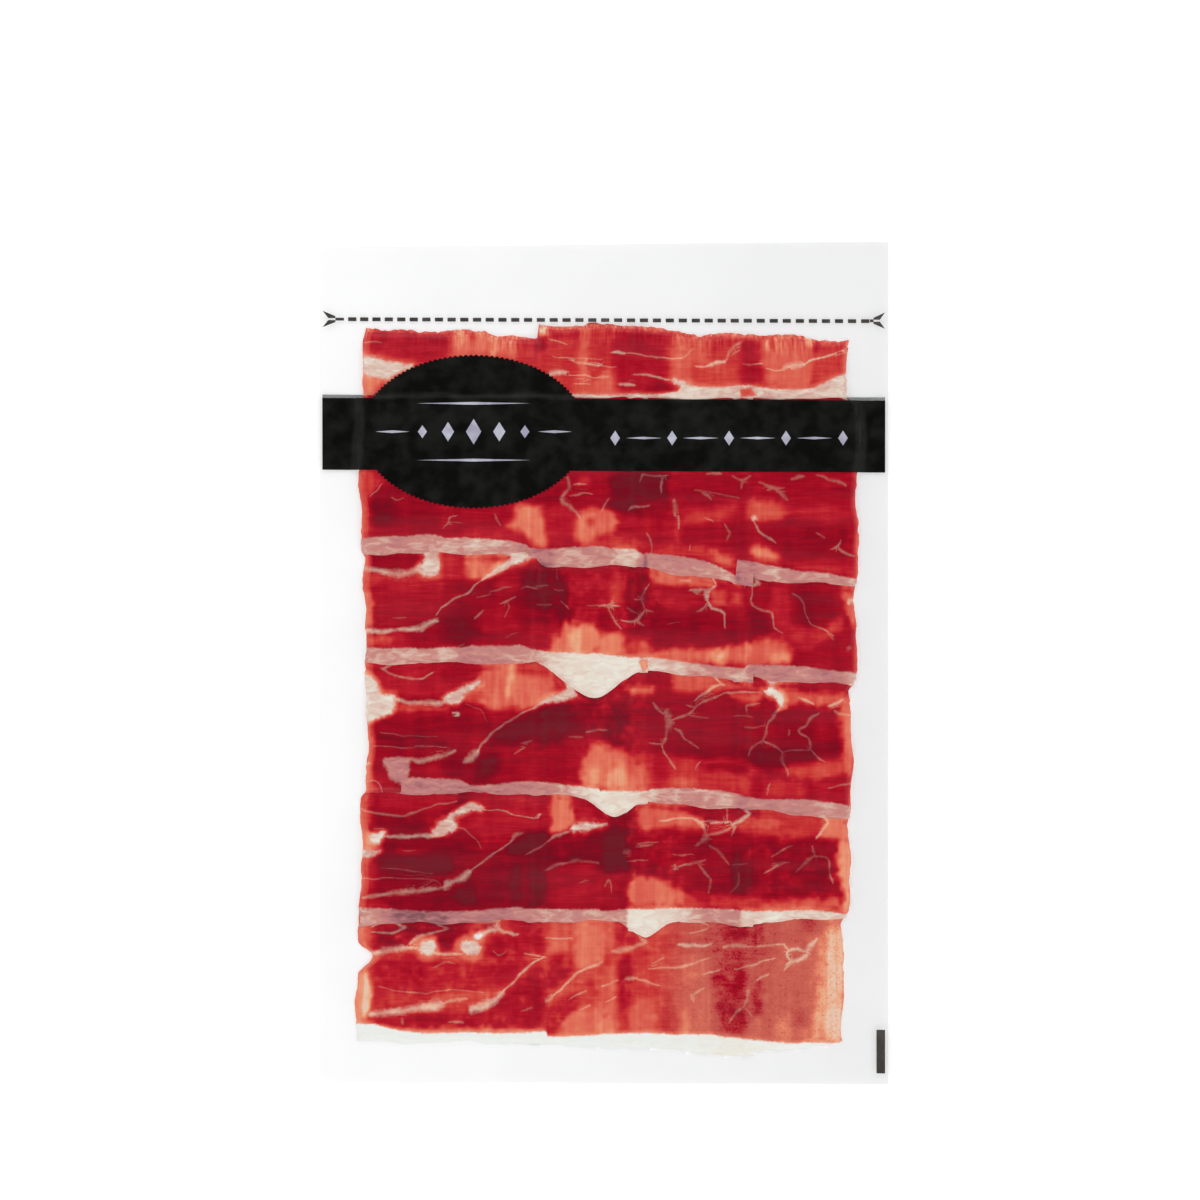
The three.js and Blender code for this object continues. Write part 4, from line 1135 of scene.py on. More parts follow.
        (B6, 0.9, 0.65, (300, 378, 450, 350, 560, 320, 640, 293)),
        (B6, 0.9, 0.6, (318, 342, 365, 312)),
        (B6, 0.9, 0.65, (615, 395, 700, 365)),
        (B6, 1, 0.7, (765, 362, 900, 345, 1000, 312)),
        (B6, 1.1, 0.65, (890, 447, 975, 410)),
        (B6, 1.5, 0.85, (1078, 292, 1100, 268, 1150, 262, 1200, 270, 1172, 308, 1105, 328, 1070, 345)),
        (B6, 1.5, 0.85, (1078, 292, 1095, 320)),
        (B6, 1.6, 0.85, (1195, 275, 1225, 240, 1265, 195)),
        (B6, 1.2, 0.7, (1050, 238, 1090, 272)),
        (B6, 1.2, 0.7, (1055, 380, 1090, 345)),
        (B6, 1.6, 0.5, (855, 490, 835, 590)),
        (B6, 1.1, 0.65, (835, 590, 760, 640, 742, 690)),
        (B6, 1, 0.5, (840, 610, 872, 645)),
        (B6, 2.2, 0.6, (70, 262, 160, 242, 262, 215)),
        (B6, 1.5, 0.65, (165, 430, 230, 430)),
        (B6, 1, 0.55, (230, 435, 345, 470)),
        (B6, 0.9, 0.6, (0, 462, 110, 430)),
        (B6, 1.1, 0.7, (540, 525, 552, 560)),
        (B6, 1.1, 0.65, (545, 530, 610, 490)),
        (B6, 0.9, 0.6, (30, 547, 95, 520)),
        (B6, 0.8, 0.5, (520, 165, 620, 130)),
        (B6, 0.9, 0.4, (700, 60, 760, 70)),
    ),
})


def on_pack(view, points):
    """Points of a view, as places on the pack."""
    left, top, enlarged = view
    x = (left + np.array(points[::2]) / enlarged - PHOTO_MIDDLE[0]) / PHOTO_SCALE
    y = (PHOTO_MIDDLE[1] - top - np.array(points[1::2]) / enlarged) / PHOTO_SCALE
    return x, y


def from_stroke(x, y, start, end):
    """How far places lie from a straight stroke, on which side of it, and how far past its ends."""
    (ax, ay), (bx, by) = start, end
    length = math.hypot(bx - ax, by - ay) + 1e-9
    ux, uy = (bx - ax) / length, (by - ay) / length
    along = (x - ax) * ux + (y - ay) * uy
    aside = (y - ay) * ux - (x - ax) * uy
    past = np.maximum(np.maximum(-along, along - length), 0)
    return np.hypot(aside, past), np.where(aside < 0, -1, 1), past


def close_by(x, y, xs, ys, reach):
    """Which places lie within reach of the box round some points."""
    beside = (x > xs.min() - reach) & (x < xs.max() + reach)
    return beside & (y > ys.min() - reach) & (y < ys.max() + reach)


def depth_inside(x, y, xs, ys, reach=3):
    """How far places lie inside an outline, negative outside it."""
    found = np.full(x.shape, -float(reach))
    near = close_by(x, y, xs, ys, reach)
    px, py = x[near], y[near]
    closest = np.full(px.shape, 1e3)
    within = np.zeros(px.shape, bool)
    points = list(zip(xs, ys))
    for start, end in zip(points, points[1:] + points[:1]):
        closest = np.minimum(closest, from_stroke(px, py, start, end)[0])
        rise = end[1] - start[1]
        if rise:
            meets = start[0] + (end[0] - start[0]) * (py - start[1]) / rise
            within ^= ((start[1] > py) != (end[1] > py)) & (px < meets)
    found[near] = np.where(within, closest, -closest)
    return found


def smooth_course(xs, ys):
    """Points close together on a smooth curve through the given ones."""
    p = np.stack((xs, ys), axis=1)
    p = np.concatenate((2 * p[:1] - p[1:2], p, 2 * p[-1:] - p[-2:-1]))
    course = [p[1]]
    for a, b, c, d in zip(p, p[1:], p[2:], p[3:]):
        for t in (0.25, 0.5, 0.75, 1):
            pull = (c - a) * t + (2 * a - 5 * b + 4 * c - d) * t**2 + (3 * b - a - 3 * c + d) * t**3
            course.append(b + pull / 2)
    return course


def rounded(xs, ys):
    """An outline with its corners cut off twice, so that it bends softly."""
    p = np.stack((xs, ys), axis=1)
    for _ in range(2):
        onward = np.roll(p, -1, axis=0)
        p = np.stack((mix(p, onward, 0.2), mix(p, onward, 0.8)), axis=1).reshape(-1, 2)
    return p.T


def draw_veins_and_glints(x, y, veins_and_glints):
    """For each place the nearest vein, a few of which are painted glints of the film: how many half
    widths away, with a sign for the side so that a line is crossed between two corners of the
    mesh, and how strong it shows there."""
    nearest = np.full(x.shape, 9.0)
    signed = np.full(x.shape, 4.0)
    strength = np.zeros(x.shape)
    for view, half_width, strong, points in veins_and_glints:
        xs, ys = on_pack(view, points)
        near = np.flatnonzero(close_by(x, y, xs, ys, 2.2))
        course = smooth_course(xs, ys)
        for n, (start, end) in enumerate(zip(course, course[1:])):
            thin = 0.55 + 0.45 * math.sin(math.pi * (n + 0.5) / (len(course) - 1))
            half = half_width / PHOTO_SCALE * thin
            away, side, past = from_stroke(x[near], y[near], start, end)
            closer = away < nearest[near]
            chosen = near[closer]
            nearest[chosen] = away[closer]
            signed[chosen] = np.clip(side * away / half, -4, 4)[closer]
            last = n in (0, len(course) - 2)
            ends = smooth(1 - past / 0.9) if last else 1
            strength[chosen] = (strong * smooth((half + 1.5 - away) / 0.9) * ends)[closer]
    return signed, strength


def row_line(parts, x):
    """A line along a row that is given in parts, at each place across."""
    placed = [on_pack(view, points) for view, points in parts]
    xs, ys = (np.concatenate([part[n] for part in placed]) for n in (0, 1))
    return np.interp(x, xs, ys)


def row_tones(parts, x):
    """The tone of the fat strip at each place across."""
    xs = np.concatenate([on_pack(view, points)[0] for view, points in parts])
    return np.interp(x, xs, np.concatenate([points[1::2] for _, points in parts]))


COMB_LENGTH = 11  # how far the streaks reach down from the cut top of the first row
SOFT_PATCH = 0.55  # below 1 a patch of fat gets a softer border than the fat strip
SPECKLES_FROM, SPECKLES_RUN = 10, 30  # on the last row they set in from here to the right
FEW_SPECKLES = 0.08  # on the other rows
WIDE_STRAY, FINE_STRAY = 9, 3.1  # lengths of the waves in which the drawn borders stray


def strayed(x, y, by, seed):
    """How far a drawn border strays at each place, so that it doesn't look ruled."""
    wide, fine = value_noise(x, y, WIDE_STRAY, seed), value_noise(x, y, FINE_STRAY, seed + 1)
    return by * (wide + 0.5 * fine)


def paint(row, x, y):
    """What the material reads at each corner of a row's slices."""
    drawing = ROW_DRAWINGS[row]
    start = row_start(row, x)
    if row:
        y = np.where(y > start, start - 0.8 * (y - start), y)  # the tucked part is like the shown one
    left, right = x - ham_side(0, y), ham_side(1, y) - x
    flat_x, flat_y = x, y
    x = x + strayed(x, y, 1.0, 101)
    y = y + strayed(x, y, 0.8, 103)
    fine = 0.7 * value_noise(x, y, 1.7, 106)

    depth = np.full(x.shape, drawing["lean"])
    for view, tone, border, points in drawing["patches"]:
        inside = depth_inside(x, y, *rounded(*on_pack(view, points))) + fine
        depth = mix(depth, tone, smooth(0.5 + inside / (1.3 + 3.6 * border)))
    one_layer = smooth((ONE_LAYER - left) / 0.8)  # the left ends of the upper slices stand back
    depth = mix(depth, 0.1 + 0.55 * depth, one_layer)
    rim_width = 2.2 + 1.6 * value_noise(x, y, 7, 105)  # of the pale rim along the sides
    rim = np.maximum(smooth(1 - left / rim_width), smooth(1 - right / rim_width))
    if row == 0:
        rim = np.maximum(rim, smooth(1 - (start - y) / 1.8))
    depth = mix(depth, np.minimum(depth, 0.2), 0.8 * rim)

    fat = row_line(drawing["fat_top"], flat_x) - mix(flat_y, y, 0.4)
    fat_tone = row_tones(drawing["fat_tones"], x)
    for view, tone, points in drawing["fat_patches"]:
        inside = SOFT_PATCH * (depth_inside(x, y, *rounded(*on_pack(view, points))) + 0.6 * fine)
        fat_tone = mix(fat_tone, tone, smooth(0.5 + (inside - np.maximum(fat, -1)) / 1.2))
        fat = np.maximum(fat, inside)
    for view, tone, points in drawing["lean_patches"]:
        inside = depth_inside(x, y, *on_pack(view, points))
        depth = mix(depth, tone, smooth(0.5 + inside / 1.2))
        fat = np.minimum(fat, -inside)
    vein_and_glint, strength = draw_veins_and_glints(x, y, drawing["veins_and_glints"])
    last_speckles = smooth((x - SPECKLES_FROM) / SPECKLES_RUN)
    speckled = last_speckles if row == LAST_ROW else np.full(x.shape, FEW_SPECKLES)
    combed = smooth(1 - (start - y) / COMB_LENGTH) * (1 - depth) if row == 0 else 0 * x
    return {
        "depth": depth, "speckled": speckled, "combed": combed, "fat": np.clip(fat, -3, 3),
        "fat_tone": fat_tone, "vein_and_glint": vein_and_glint, "vein_and_glint_strength": strength,
    }


# ---- the ham ----

def ragged(s, size, seed):
    """Small teeth along a cut edge, always inwards."""
    wide, fine = value_noise(s, s * 0, 2.6, seed), value_noise(s, s * 0, 1.1, seed + 1)
    return size * (0.5 + 0.3 * wide + 0.2 * fine)


def ham_row(row, material):
    """One row of the ham: four slices side by side, the left end of each under its neighbour."""
    shown_cells = SHOWN_CELLS[row]
    hidden_cells = TUCKED_CELLS if row else 0
    limits = np.array((ROW_ENDS[row][0], *SEAMS, ROW_ENDS[row][1]))
    splits = [
        (round((limits[n + 1] - limits[n] + SEAM_LAP) / GRAIN), shown_cells + hidden_cells)
        for n in range(4)
    ]
    piece = new_piece(f"ham_row_{row + 1}", "ham_lean", closed_sheets(splits), material)
    across, along, top_side = corners(piece.data)
    place = np.rint(across / 2).astype(int)
    u, v = across - 2 * place + 0.5, along + 0.5

    def line_along(x):
        """Where a grid line lies along the pack. A slice keeps its own end lines in the laps."""
        own = np.clip(x, limits[place], limits[place + 1] - 1e-6)
        edge = fat_edge(row, own) + ragged(x, 0.7, 20 + row)
        if row == 0:
            top = np.minimum(ham_top(own), ham_top(x))
            return mix(edge, top + 0.5 - ragged(x, 1.4, 40), v)
        turn = row_start(row, own) + TURN_OVERLAP
        share = v * (shown_cells + hidden_cells)
        shown = mix(edge, turn, share / shown_cells)
        tucked_top = np.minimum(slice_top(row, own), slice_top(row, x))
        hidden = mix(turn, tucked_top, (share - shown_cells) / hidden_cells)
        return np.where(share <= shown_cells, shown, hidden)

    y = line_along(mix(limits[place], limits[place + 1], u))
    left_side = ham_side(0, y) + ragged(y, 0.8, 50 + row)
    right_side = ham_side(1, y) - ragged(y, 0.8, 60 + row)
    left = np.where(place == 0, left_side, limits[place] - SEAM_LAP / 2)
    right = np.where(place == 3, right_side, limits[place + 1] + SEAM_LAP / 2)
    x = mix(left, right, u)
    y = line_along(x)

    own = np.clip(x, limits[place], limits[place + 1] - 1e-6)
    level = pressed_level(row, x, y)
    if row:
        under_above = pressed_level(row - 1, x, y) - SLICE
        level = np.where(y > fat_edge(row - 1, own), under_above, level)
    level = np.minimum(level, film_height(FILM_UPPER, x, y)) - UNDER_FILM
    starts_lap = limits[place] + SEAM_LAP / 2
    ends_lap = limits[place + 1] - SEAM_LAP / 2
    under_neighbour = (place > 0) * smooth((starts_lap - x) / DIVE_RUN - 0.9)
    over_neighbour = (place < 3) * smooth((x - ends_lap) / OVER_END + 1)
    upper = level - LAP_SLICE * under_neighbour
    thick = mix(SLICE, LAP_SLICE, np.maximum(under_neighbour, over_neighbour))
    lower = np.maximum(upper - thick, OVER_BACK)
    dip, dip_run = LAP_DIP
    upper = upper - dip * (place < 3) * smooth((x - ends_lap - SEAM_LAP) / dip_run + 1)

    from_edge = y - fat_edge(row, own)
    from_edge = np.minimum(from_edge, np.where(place == 0, x - ham_side(0, y), 9))
    from_edge = np.minimum(from_edge, np.where(place == 3, ham_side(1, y) - x, 9))
    if row == 0:
        from_edge = np.minimum(from_edge, ham_top(own) - y)
    thinned = smooth((from_edge - 0.3) / THIN_END)
    upper = np.maximum(mix(lower + EDGE_THICKNESS, upper, thinned), OVER_BACK + EDGE_THICKNESS)
    put_corners(piece.data, x, y, np.where(top_side > 0.5, upper, lower))
    for name, values in paint(row, x, y).items():
        mark(piece.data, name, values)


# ---- the prints ----

def drape(piece, x, y, outside, gap, side=1):
    """Lays a flat print on the upper film, side 1, or inside on the back film, side -1."""
    film = film_height(FILM_UPPER if side > 0 else FILM_LOWER, x, y)
    put_corners(piece.data, x, y, film + gap + INK * outside)


def band(name, rise, side, slot, material):
    piece = new_piece(name, slot, closed_sheets([BAND_CELLS]), material)
    u, v, outside = corners(piece.data)
    x = 2 * (HALF_WIDTH - BAND_INSET) * u
    top = mix(*BAND_TOP, u + 0.5) + rise
    drape(piece, x, top - BAND_HEIGHT * (0.5 - v), outside, ON_FILM, side)


def badge(black):
    """An oval with a finely toothed edge."""
    bm = bmesh.new()
    bmesh.ops.create_grid(bm, x_segments=2 * TEETH, y_segments=RINGS, size=0.5)
    for vert in bm.verts:
        turn, out = 2 * math.pi * (vert.co.x + 0.5), vert.co.y + 0.5
        tooth = TOOTH * smooth((out - 1) / TOOTHED + 1) * math.cos(TEETH * turn)
        vert.co.x = (OVAL[2] * out + tooth) * math.cos(turn)
        vert.co.y = (OVAL[3] * out + tooth) * math.sin(turn)
    bmesh.ops.remove_doubles(bm, verts=bm.verts[:], dist=1e-3)
    bmesh.ops.recalc_face_normals(bm, faces=bm.faces[:])
    thicken(bm)
    piece = new_piece("oval_badge", "black_print", bm, black)
    x, y, outside = corners(piece.data)
    drape(piece, x + OVAL[0], y + OVAL[1], outside, ON_BAND)


def four_cornered(name, slot, shapes, gap, material):
    """Flat prints with four corners each, given as places in turn round the shape."""
    piece = new_piece(name, slot, closed_sheets([MARK_CELLS] * len(shapes)), material)
    across, v, outside = corners(piece.data)
    n = np.rint(across / 2).astype(int)
    u, v = across - 2 * n + 0.5, v + 0.5
    a, b, c, d = (np.array(shapes)[n, k].T for k in range(4))
    x, y = mix(mix(a, b, u), mix(d, c, u), v)
    drape(piece, x, y, outside, gap)


def diamond(x, y, width, height):
    """A diamond, which is a rule with tapered ends where one measure is far the longer."""
    return ((x - width / 2, y), (x, y - height / 2), (x + width / 2, y), (x, y + height / 2))


def ornaments(silver):
    """The lighter prints: plain diamonds and rules on the badge and the band."""
    x, y = OVAL[:2]
    on_badge = []
    for step in (-2, -1, 0, 1, 2):
        size = (whole - abs(step) * less for whole, less in zip(BADGE_DIAMOND, SMALLER_BY))
        on_badge.append(diamond(x + step * DIAMOND_SPACING, y, *size))
    for across, up, length in BADGE_RULES:
        on_badge.append(diamond(x + across, y + up, length, BADGE_RULE_WIDTH))
    four_cornered("badge_ornament", "grey_print", on_badge, ON_BADGE, silver)
    middle = BAND_TOP[1] - BAND_HEIGHT / 2 - BELOW_MIDDLE
    on_band = [diamond(x, middle, *BAND_DIAMOND) for x in BAND_DIAMONDS]
    on_band += [diamond(x, middle, *BAND_RULE) for x in BAND_RULES]
    four_cornered("band_ornament", "grey_print", on_band, ON_BAND, silver)


def tear_line(black):
    piece = new_piece("tear_line", "black_print", closed_sheets([(2, 1)] * DASHES), black)
    across, v, outside = corners(piece.data)
    n = np.rint(across / 2)
    s = n / (DASHES - 1)
    (left, left_up), (right, right_up) = TEAR_LINE_ENDS
    x = mix(left, right, s ** DASH_DRIFT) + DASH[0] * (across - 2 * n)
    y = mix(left_up, right_up, s) + DASH[1] * v
    drape(piece, x, y, outside, ON_FILM)


def tear_marks(black):
    """A barbed mark at each end of the tear line."""
    shapes = []
    for tip, foot, end, middle in TEAR_MARKS:
        for side in (-1, 1):
            near, far = middle + BARB_GAP * side, middle + BARB_REACH * side
            bend = (mix(tip, foot, 0.45), near)
            barb = ((tip, far), bend, (foot, near), (foot, near + BARB_FOOT * side))
            shapes.append(barb[::-1] if (side > 0) == (foot > 0) else barb)
        left, right = sorted((foot, end))
        low, high = middle - BAR_HALF, middle + BAR_HALF
        shapes.append(((left, low), (right, low), (right, high), (left, high)))
    four_cornered("tear_marks", "black_print", shapes, ON_FILM, black)


def eye_mark(black):
    piece = new_piece("eye_mark", "black_print", closed_sheets([(3, 13)]), black)
    u, v, outside = corners(piece.data)
    x, y, width, height = EYE_MARK
    drape(piece, x + width * u, y + height * v, outside, ON_FILM)


# ---- materials ----

LEAN_TONES = (
    (0.00, "#EFCAB2"), (0.06, "#F2AE88"), (0.15, "#EE8768"), (0.28, "#E26251"), (0.42, "#D23C37"),
    (0.55, "#C11A2C"), (0.68, "#AA0420"), (0.80, "#90001C"), (0.90, "#7B031C"), (1.00, "#701824"),
)
FAT_TONES = (
    (0.00, "#F3F5F1"), (0.08, "#F1EADC"), (0.30, "#E1BDAD"), (0.50, "#D18F85"), (0.75, "#C07A7B"),
    (1.00, "#8A555C"),
)


def srgb(code):
    """An sRGB hex code as a linear colour."""
    shares = [int(code[i : i + 2], 16) / 255 for i in (1, 3, 5)]
    return (*(s / 12.92 if s <= 0.04045 else ((s + 0.055) / 1.055) ** 2.4 for s in shares), 1.0)


def add(tree, kind, inputs, **settings):
    """Adds a node with its settings, and fills its sockets with values or links."""
    made = tree.nodes.new("ShaderNode" + kind)
    for name, value in settings.items():
        setattr(made, name, value)
    for socket, value in inputs.items():
        if isinstance(value, bpy.types.NodeSocket):
            tree.links.new(value, made.inputs[socket])
        else:
            made.inputs[socket].default_value = value
    return made


def new_material(name):
    material = bpy.data.materials.new(name)
    material.use_nodes = True
    tree = material.node_tree
    tree.nodes.clear()
    return material, tree


def set_tones(ramp, tones):
    stops = ramp.color_ramp.elements
    while len(stops) < len(tones):
        stops.new(1)
    for stop, (place, code) in zip(stops, tones):
        stop.position = place
        stop.color = srgb(code)


def film_over_ham():
    """Polyamide and polyethylene film, drawn tight over the ham: it all but vanishes there."""
    material, tree = new_material("polyamide_film_over_ham")
    shader = add(tree, "BsdfPrincipled", {
        "Base Color": srgb("#303030"), "Roughness": 0.14, "IOR": 1.5, "Alpha": 0.03,
    })
    add(tree, "OutputMaterial", {"Surface": shader.outputs[0]})
    return material


def film_margin():
    """The same film, heat sealed on itself: clear with a faint grey veil, a little denser on the
    right, which is painted shade for light that falls off towards that side."""
    material, tree = new_material("polyamide_film_sealed")
    place = add(tree, "TexCoord", {}).outputs["Object"]
    across = add(tree, "SeparateXYZ", {"Vector": place}).outputs["X"]
    cloud = add(tree, "TexNoise", {"Vector": place, "Scale": 1 / (35 * MM), "Detail": 2})
    # From left to right the veil thickens: painted shade, where the light falls off towards the right.
    veil_with_shade = add(tree, "MapRange", {
        "Value": across, "From Min": -0.1, "From Max": 0.1, "To Min": 0.015, "To Max": 0.075,
    }).outputs[0]
    veil_with_shade = add(tree, "Math", {0: cloud.outputs["Fac"], 1: 0.03, 2: veil_with_shade}, operation="MULTIPLY_ADD")
    shader = add(tree, "BsdfPrincipled", {
        "Base Color": srgb("#909298"), "Roughness": 0.14, "IOR": 1.5, "Alpha": veil_with_shade.outputs[0],
    })
    add(tree, "OutputMaterial", {"Surface": shader.outputs[0]})
    return material


def cured_ham():
    """Dry-cured ham, sliced thin: deep red lean with fine fibres, orange where it is thin, cream
    to mauve fat with a grain, and pale veins of fat through the lean."""
    material, tree = new_material("cured_ham_sliced")
    place = add(tree, "TexCoord", {}).outputs["Object"]
    depth, speckled, combed, fat, fat_tone, vein_and_glint, strength = (
        add(tree, "Attribute", {}, attribute_name=name).outputs["Fac"]
        for name in ("depth", "speckled", "combed", "fat", "fat_tone", "vein_and_glint", "vein_and_glint_strength")
    )
    down_slice = add(tree, "Mapping", {"Vector": place, "Scale": (1, 0.05, 1)}).outputs[0]
    across_slice = add(tree, "Mapping", {"Vector": place, "Scale": (0.09, 1, 1)}).outputs[0]

    # Unevenness of the lean, each with the size of its grains in millimetres
    streaks = add(tree, "TexNoise", {"Vector": down_slice, "Scale": 1 / (1.9 * MM), "Detail": 3})
    bands = add(tree, "TexNoise", {"Vector": down_slice, "Scale": 1 / (5.5 * MM), "Detail": 2})
    fibres = add(tree, "TexNoise", {"Vector": across_slice, "Scale": 1 / (0.6 * MM), "Detail": 2})
    bundles = add(tree, "TexNoise", {"Vector": across_slice, "Scale": 1 / (1.8 * MM), "Detail": 3})
    teeth = add(tree, "TexNoise", {"Vector": down_slice, "Scale": 1 / (0.9 * MM), "Detail": 2})
    clouds = add(tree, "TexNoise", {"Vector": place, "Scale": 1 / (4.5 * MM), "Detail": 5})
    specks = add(tree, "TexNoise", {"Vector": place, "Scale": 1 / (0.65 * MM), "Detail": 1})

    pale = add(tree, "MapRange", {
        "Value": depth, "From Min": 0.7, "From Max": 0.3, "To Min": 0.07, "To Max": 0.26,
    }).outputs[0]
    comb = add(tree, "Math", {0: combed, 1: 1.1}, operation="MULTIPLY").outputs[0]
    fibrous = add(tree, "MapRange", {
        "Value": depth, "From Min": 0.25, "From Max": 0.6, "To Min": 0.06, "To Max": 0.22,
    }).outputs[0]
    total = depth
    for noise, gain in (
        (streaks, pale), (teeth, comb), (bands, 0.16), (fibres, fibrous), (bundles, fibrous),
        (clouds, 0.17),
    ):
        swing = add(tree, "Math", {0: noise.outputs["Fac"], 1: 0.5}, operation="SUBTRACT").outputs[0]
        total = add(tree, "Math", {0: swing, 1: gain, 2: total}, operation="MULTIPLY_ADD").outputs[0]
    speck = add(tree, "MapRange", {
        "Value": specks.outputs["Fac"], "From Min": 0.54, "From Max": 0.74, "To Max": 1,
    }).outputs[0]
    on_salmon = add(tree, "MapRange", {
        "Value": depth, "From Min": 0.1, "From Max": 0.35, "To Min": 0.11, "To Max": 0.17,
    }).outputs[0]
    in_speckled = add(tree, "Math", {0: speckled, 1: on_salmon}, operation="MULTIPLY").outputs[0]
    total = add(tree, "Math", {
        0: speck, 1: in_speckled, 2: total,
    }, operation="MULTIPLY_ADD").outputs[0]
    # Next to pale fat the lean turns orange
    uneven = add(tree, "Math", {
        0: clouds.outputs["Fac"], 1: 3.2, 2: fat,
    }, operation="MULTIPLY_ADD").outputs[0]
    by_fat = add(tree, "MapRange", {
        "Value": uneven, "From Min": -0.6, "From Max": 1.8, "To Max": 0.62,
    }, interpolation_type="SMOOTHSTEP").outputs[0]
    pale_fat = add(tree, "MapRange", {
        "Value": fat_tone, "From Min": 0.5, "From Max": 0.2, "To Max": 1,
    }).outputs[0]
    halo = add(tree, "Math", {0: by_fat, 1: pale_fat}, operation="MULTIPLY").outputs[0]
    keep = add(tree, "Math", {0: 1.0, 1: halo}, operation="SUBTRACT").outputs[0]
    total = add(tree, "Math", {0: total, 1: keep}, operation="MULTIPLY").outputs[0]
    lean = add(tree, "ValToRGB", {"Fac": total})
    set_tones(lean, LEAN_TONES)
    # A greyish bloom that lies over the deep lean in wide soft patches
    wide = add(tree, "TexNoise", {"Vector": across_slice, "Scale": 1 / (7 * MM), "Detail": 4})
    bloom = add(tree, "MapRange", {
        "Value": wide.outputs["Fac"], "From Min": 0.42, "From Max": 0.72, "To Max": 0.26,
    }, interpolation_type="SMOOTHSTEP").outputs[0]
    deep = add(tree, "MapRange", {
        "Value": total, "From Min": 0.45, "From Max": 0.7, "To Max": 1,
    }).outputs[0]
    bloom = add(tree, "Math", {0: bloom, 1: deep}, operation="MULTIPLY").outputs[0]
    bloomed = add(tree, "Mix", {
        "Factor": bloom, "A": lean.outputs[0], "B": srgb("#922C3A"),
    }, data_type="RGBA").outputs[2]

    # The thin end of the last slices is duller, between salmon and brown
    dull = add(tree, "MapRange", {
        "Value": speckled, "From Min": 0.15, "From Max": 0.9, "To Max": 0.4,
    }).outputs[0]
    for start, end in ((0.1, 0.32), (0.66, 0.46)):
        middling = add(tree, "MapRange", {"Value": total, "From Min": start, "From Max": end})
        dull = add(tree, "Math", {0: dull, 1: middling.outputs[0]}, operation="MULTIPLY").outputs[0]
    bloomed = add(tree, "Mix", {
        "Factor": dull, "A": bloomed, "B": srgb("#B87264"),
    }, data_type="RGBA").outputs[2]

    # Fat, with a ragged border and a mottled grain
    rags = add(tree, "TexNoise", {"Vector": place, "Scale": 1 / (1.1 * MM), "Detail": 3})
    shift = add(tree, "Math", {0: rags.outputs["Fac"], 1: 0.5}, operation="SUBTRACT").outputs[0]
    border = add(tree, "Math", {0: shift, 1: 1.1, 2: fat}, operation="MULTIPLY_ADD").outputs[0]
    is_fat = add(tree, "MapRange", {
        "Value": border, "From Min": -0.42, "From Max": 0.45,
    }, interpolation_type="SMOOTHSTEP").outputs[0]
    along_strip = add(tree, "Mapping", {"Vector": place, "Scale": (0.4, 1, 1)}).outputs[0]
    grain = add(tree, "TexNoise", {
        "Vector": along_strip, "Scale": 1 / (1.9 * MM), "Detail": 4, "Distortion": 0.8,
    })
    swing = add(tree, "Math", {0: grain.outputs["Fac"], 1: 0.5}, operation="SUBTRACT").outputs[0]
    contrast = add(tree, "MapRange", {
        "Value": fat_tone, "From Min": 0.0, "From Max": 0.4, "To Min": 0.12, "To Max": 0.95,
    }).outputs[0]
    mottled = add(tree, "Math", {
        0: swing, 1: contrast, 2: fat_tone,
    }, operation="MULTIPLY_ADD").outputs[0]
    fat_colour = add(tree, "ValToRGB", {"Fac": mottled})
    set_tones(fat_colour, FAT_TONES)

    # Veins, whose width and strength come and go, and a few painted glints of the film drawn like them
    width = add(tree, "Math", {0: vein_and_glint}, operation="ABSOLUTE").outputs[0]
    width = add(tree, "Math", {0: shift, 1: 2.2, 2: width}, operation="MULTIPLY_ADD").outputs[0]
    line = add(tree, "MapRange", {
        "Value": width, "From Min": 2.3, "From Max": -0.5, "To Max": 1,
    }, interpolation_type="SMOOTHSTEP").outputs[0]
    faded = add(tree, "MapRange", {
        "Value": strength, "From Min": 0.12, "From Max": 0.95, "To Max": 0.95,
    }).outputs[0]
    comes_and_goes = add(tree, "MapRange", {
        "Value": clouds.outputs["Fac"], "From Min": 0.38, "From Max": 0.56, "To Min": 0.55, "To Max": 1,
    }).outputs[0]
    faded = add(tree, "Math", {0: faded, 1: comes_and_goes}, operation="MULTIPLY").outputs[0]
    line = add(tree, "Math", {0: line, 1: faded}, operation="MULTIPLY").outputs[0]
    in_deep = add(tree, "MapRange", {
        "Value": total, "From Min": 0.36, "From Max": 0.85, "To Max": 1,
    }).outputs[0]
    thin_vein = add(tree, "Mix", {
        "Factor": in_deep, "A": srgb("#F4C8A6"), "B": srgb("#AA5E63"),
    }, data_type="RGBA").outputs[2]
    full = add(tree, "MapRange", {
        "Value": strength, "From Min": 0.72, "From Max": 1, "To Max": 0.8,
    }).outputs[0]
    vein_and_glint_colour = add(tree, "Mix", {
        "Factor": full, "A": thin_vein, "B": srgb("#EFDAC6"),
    }, data_type="RGBA")

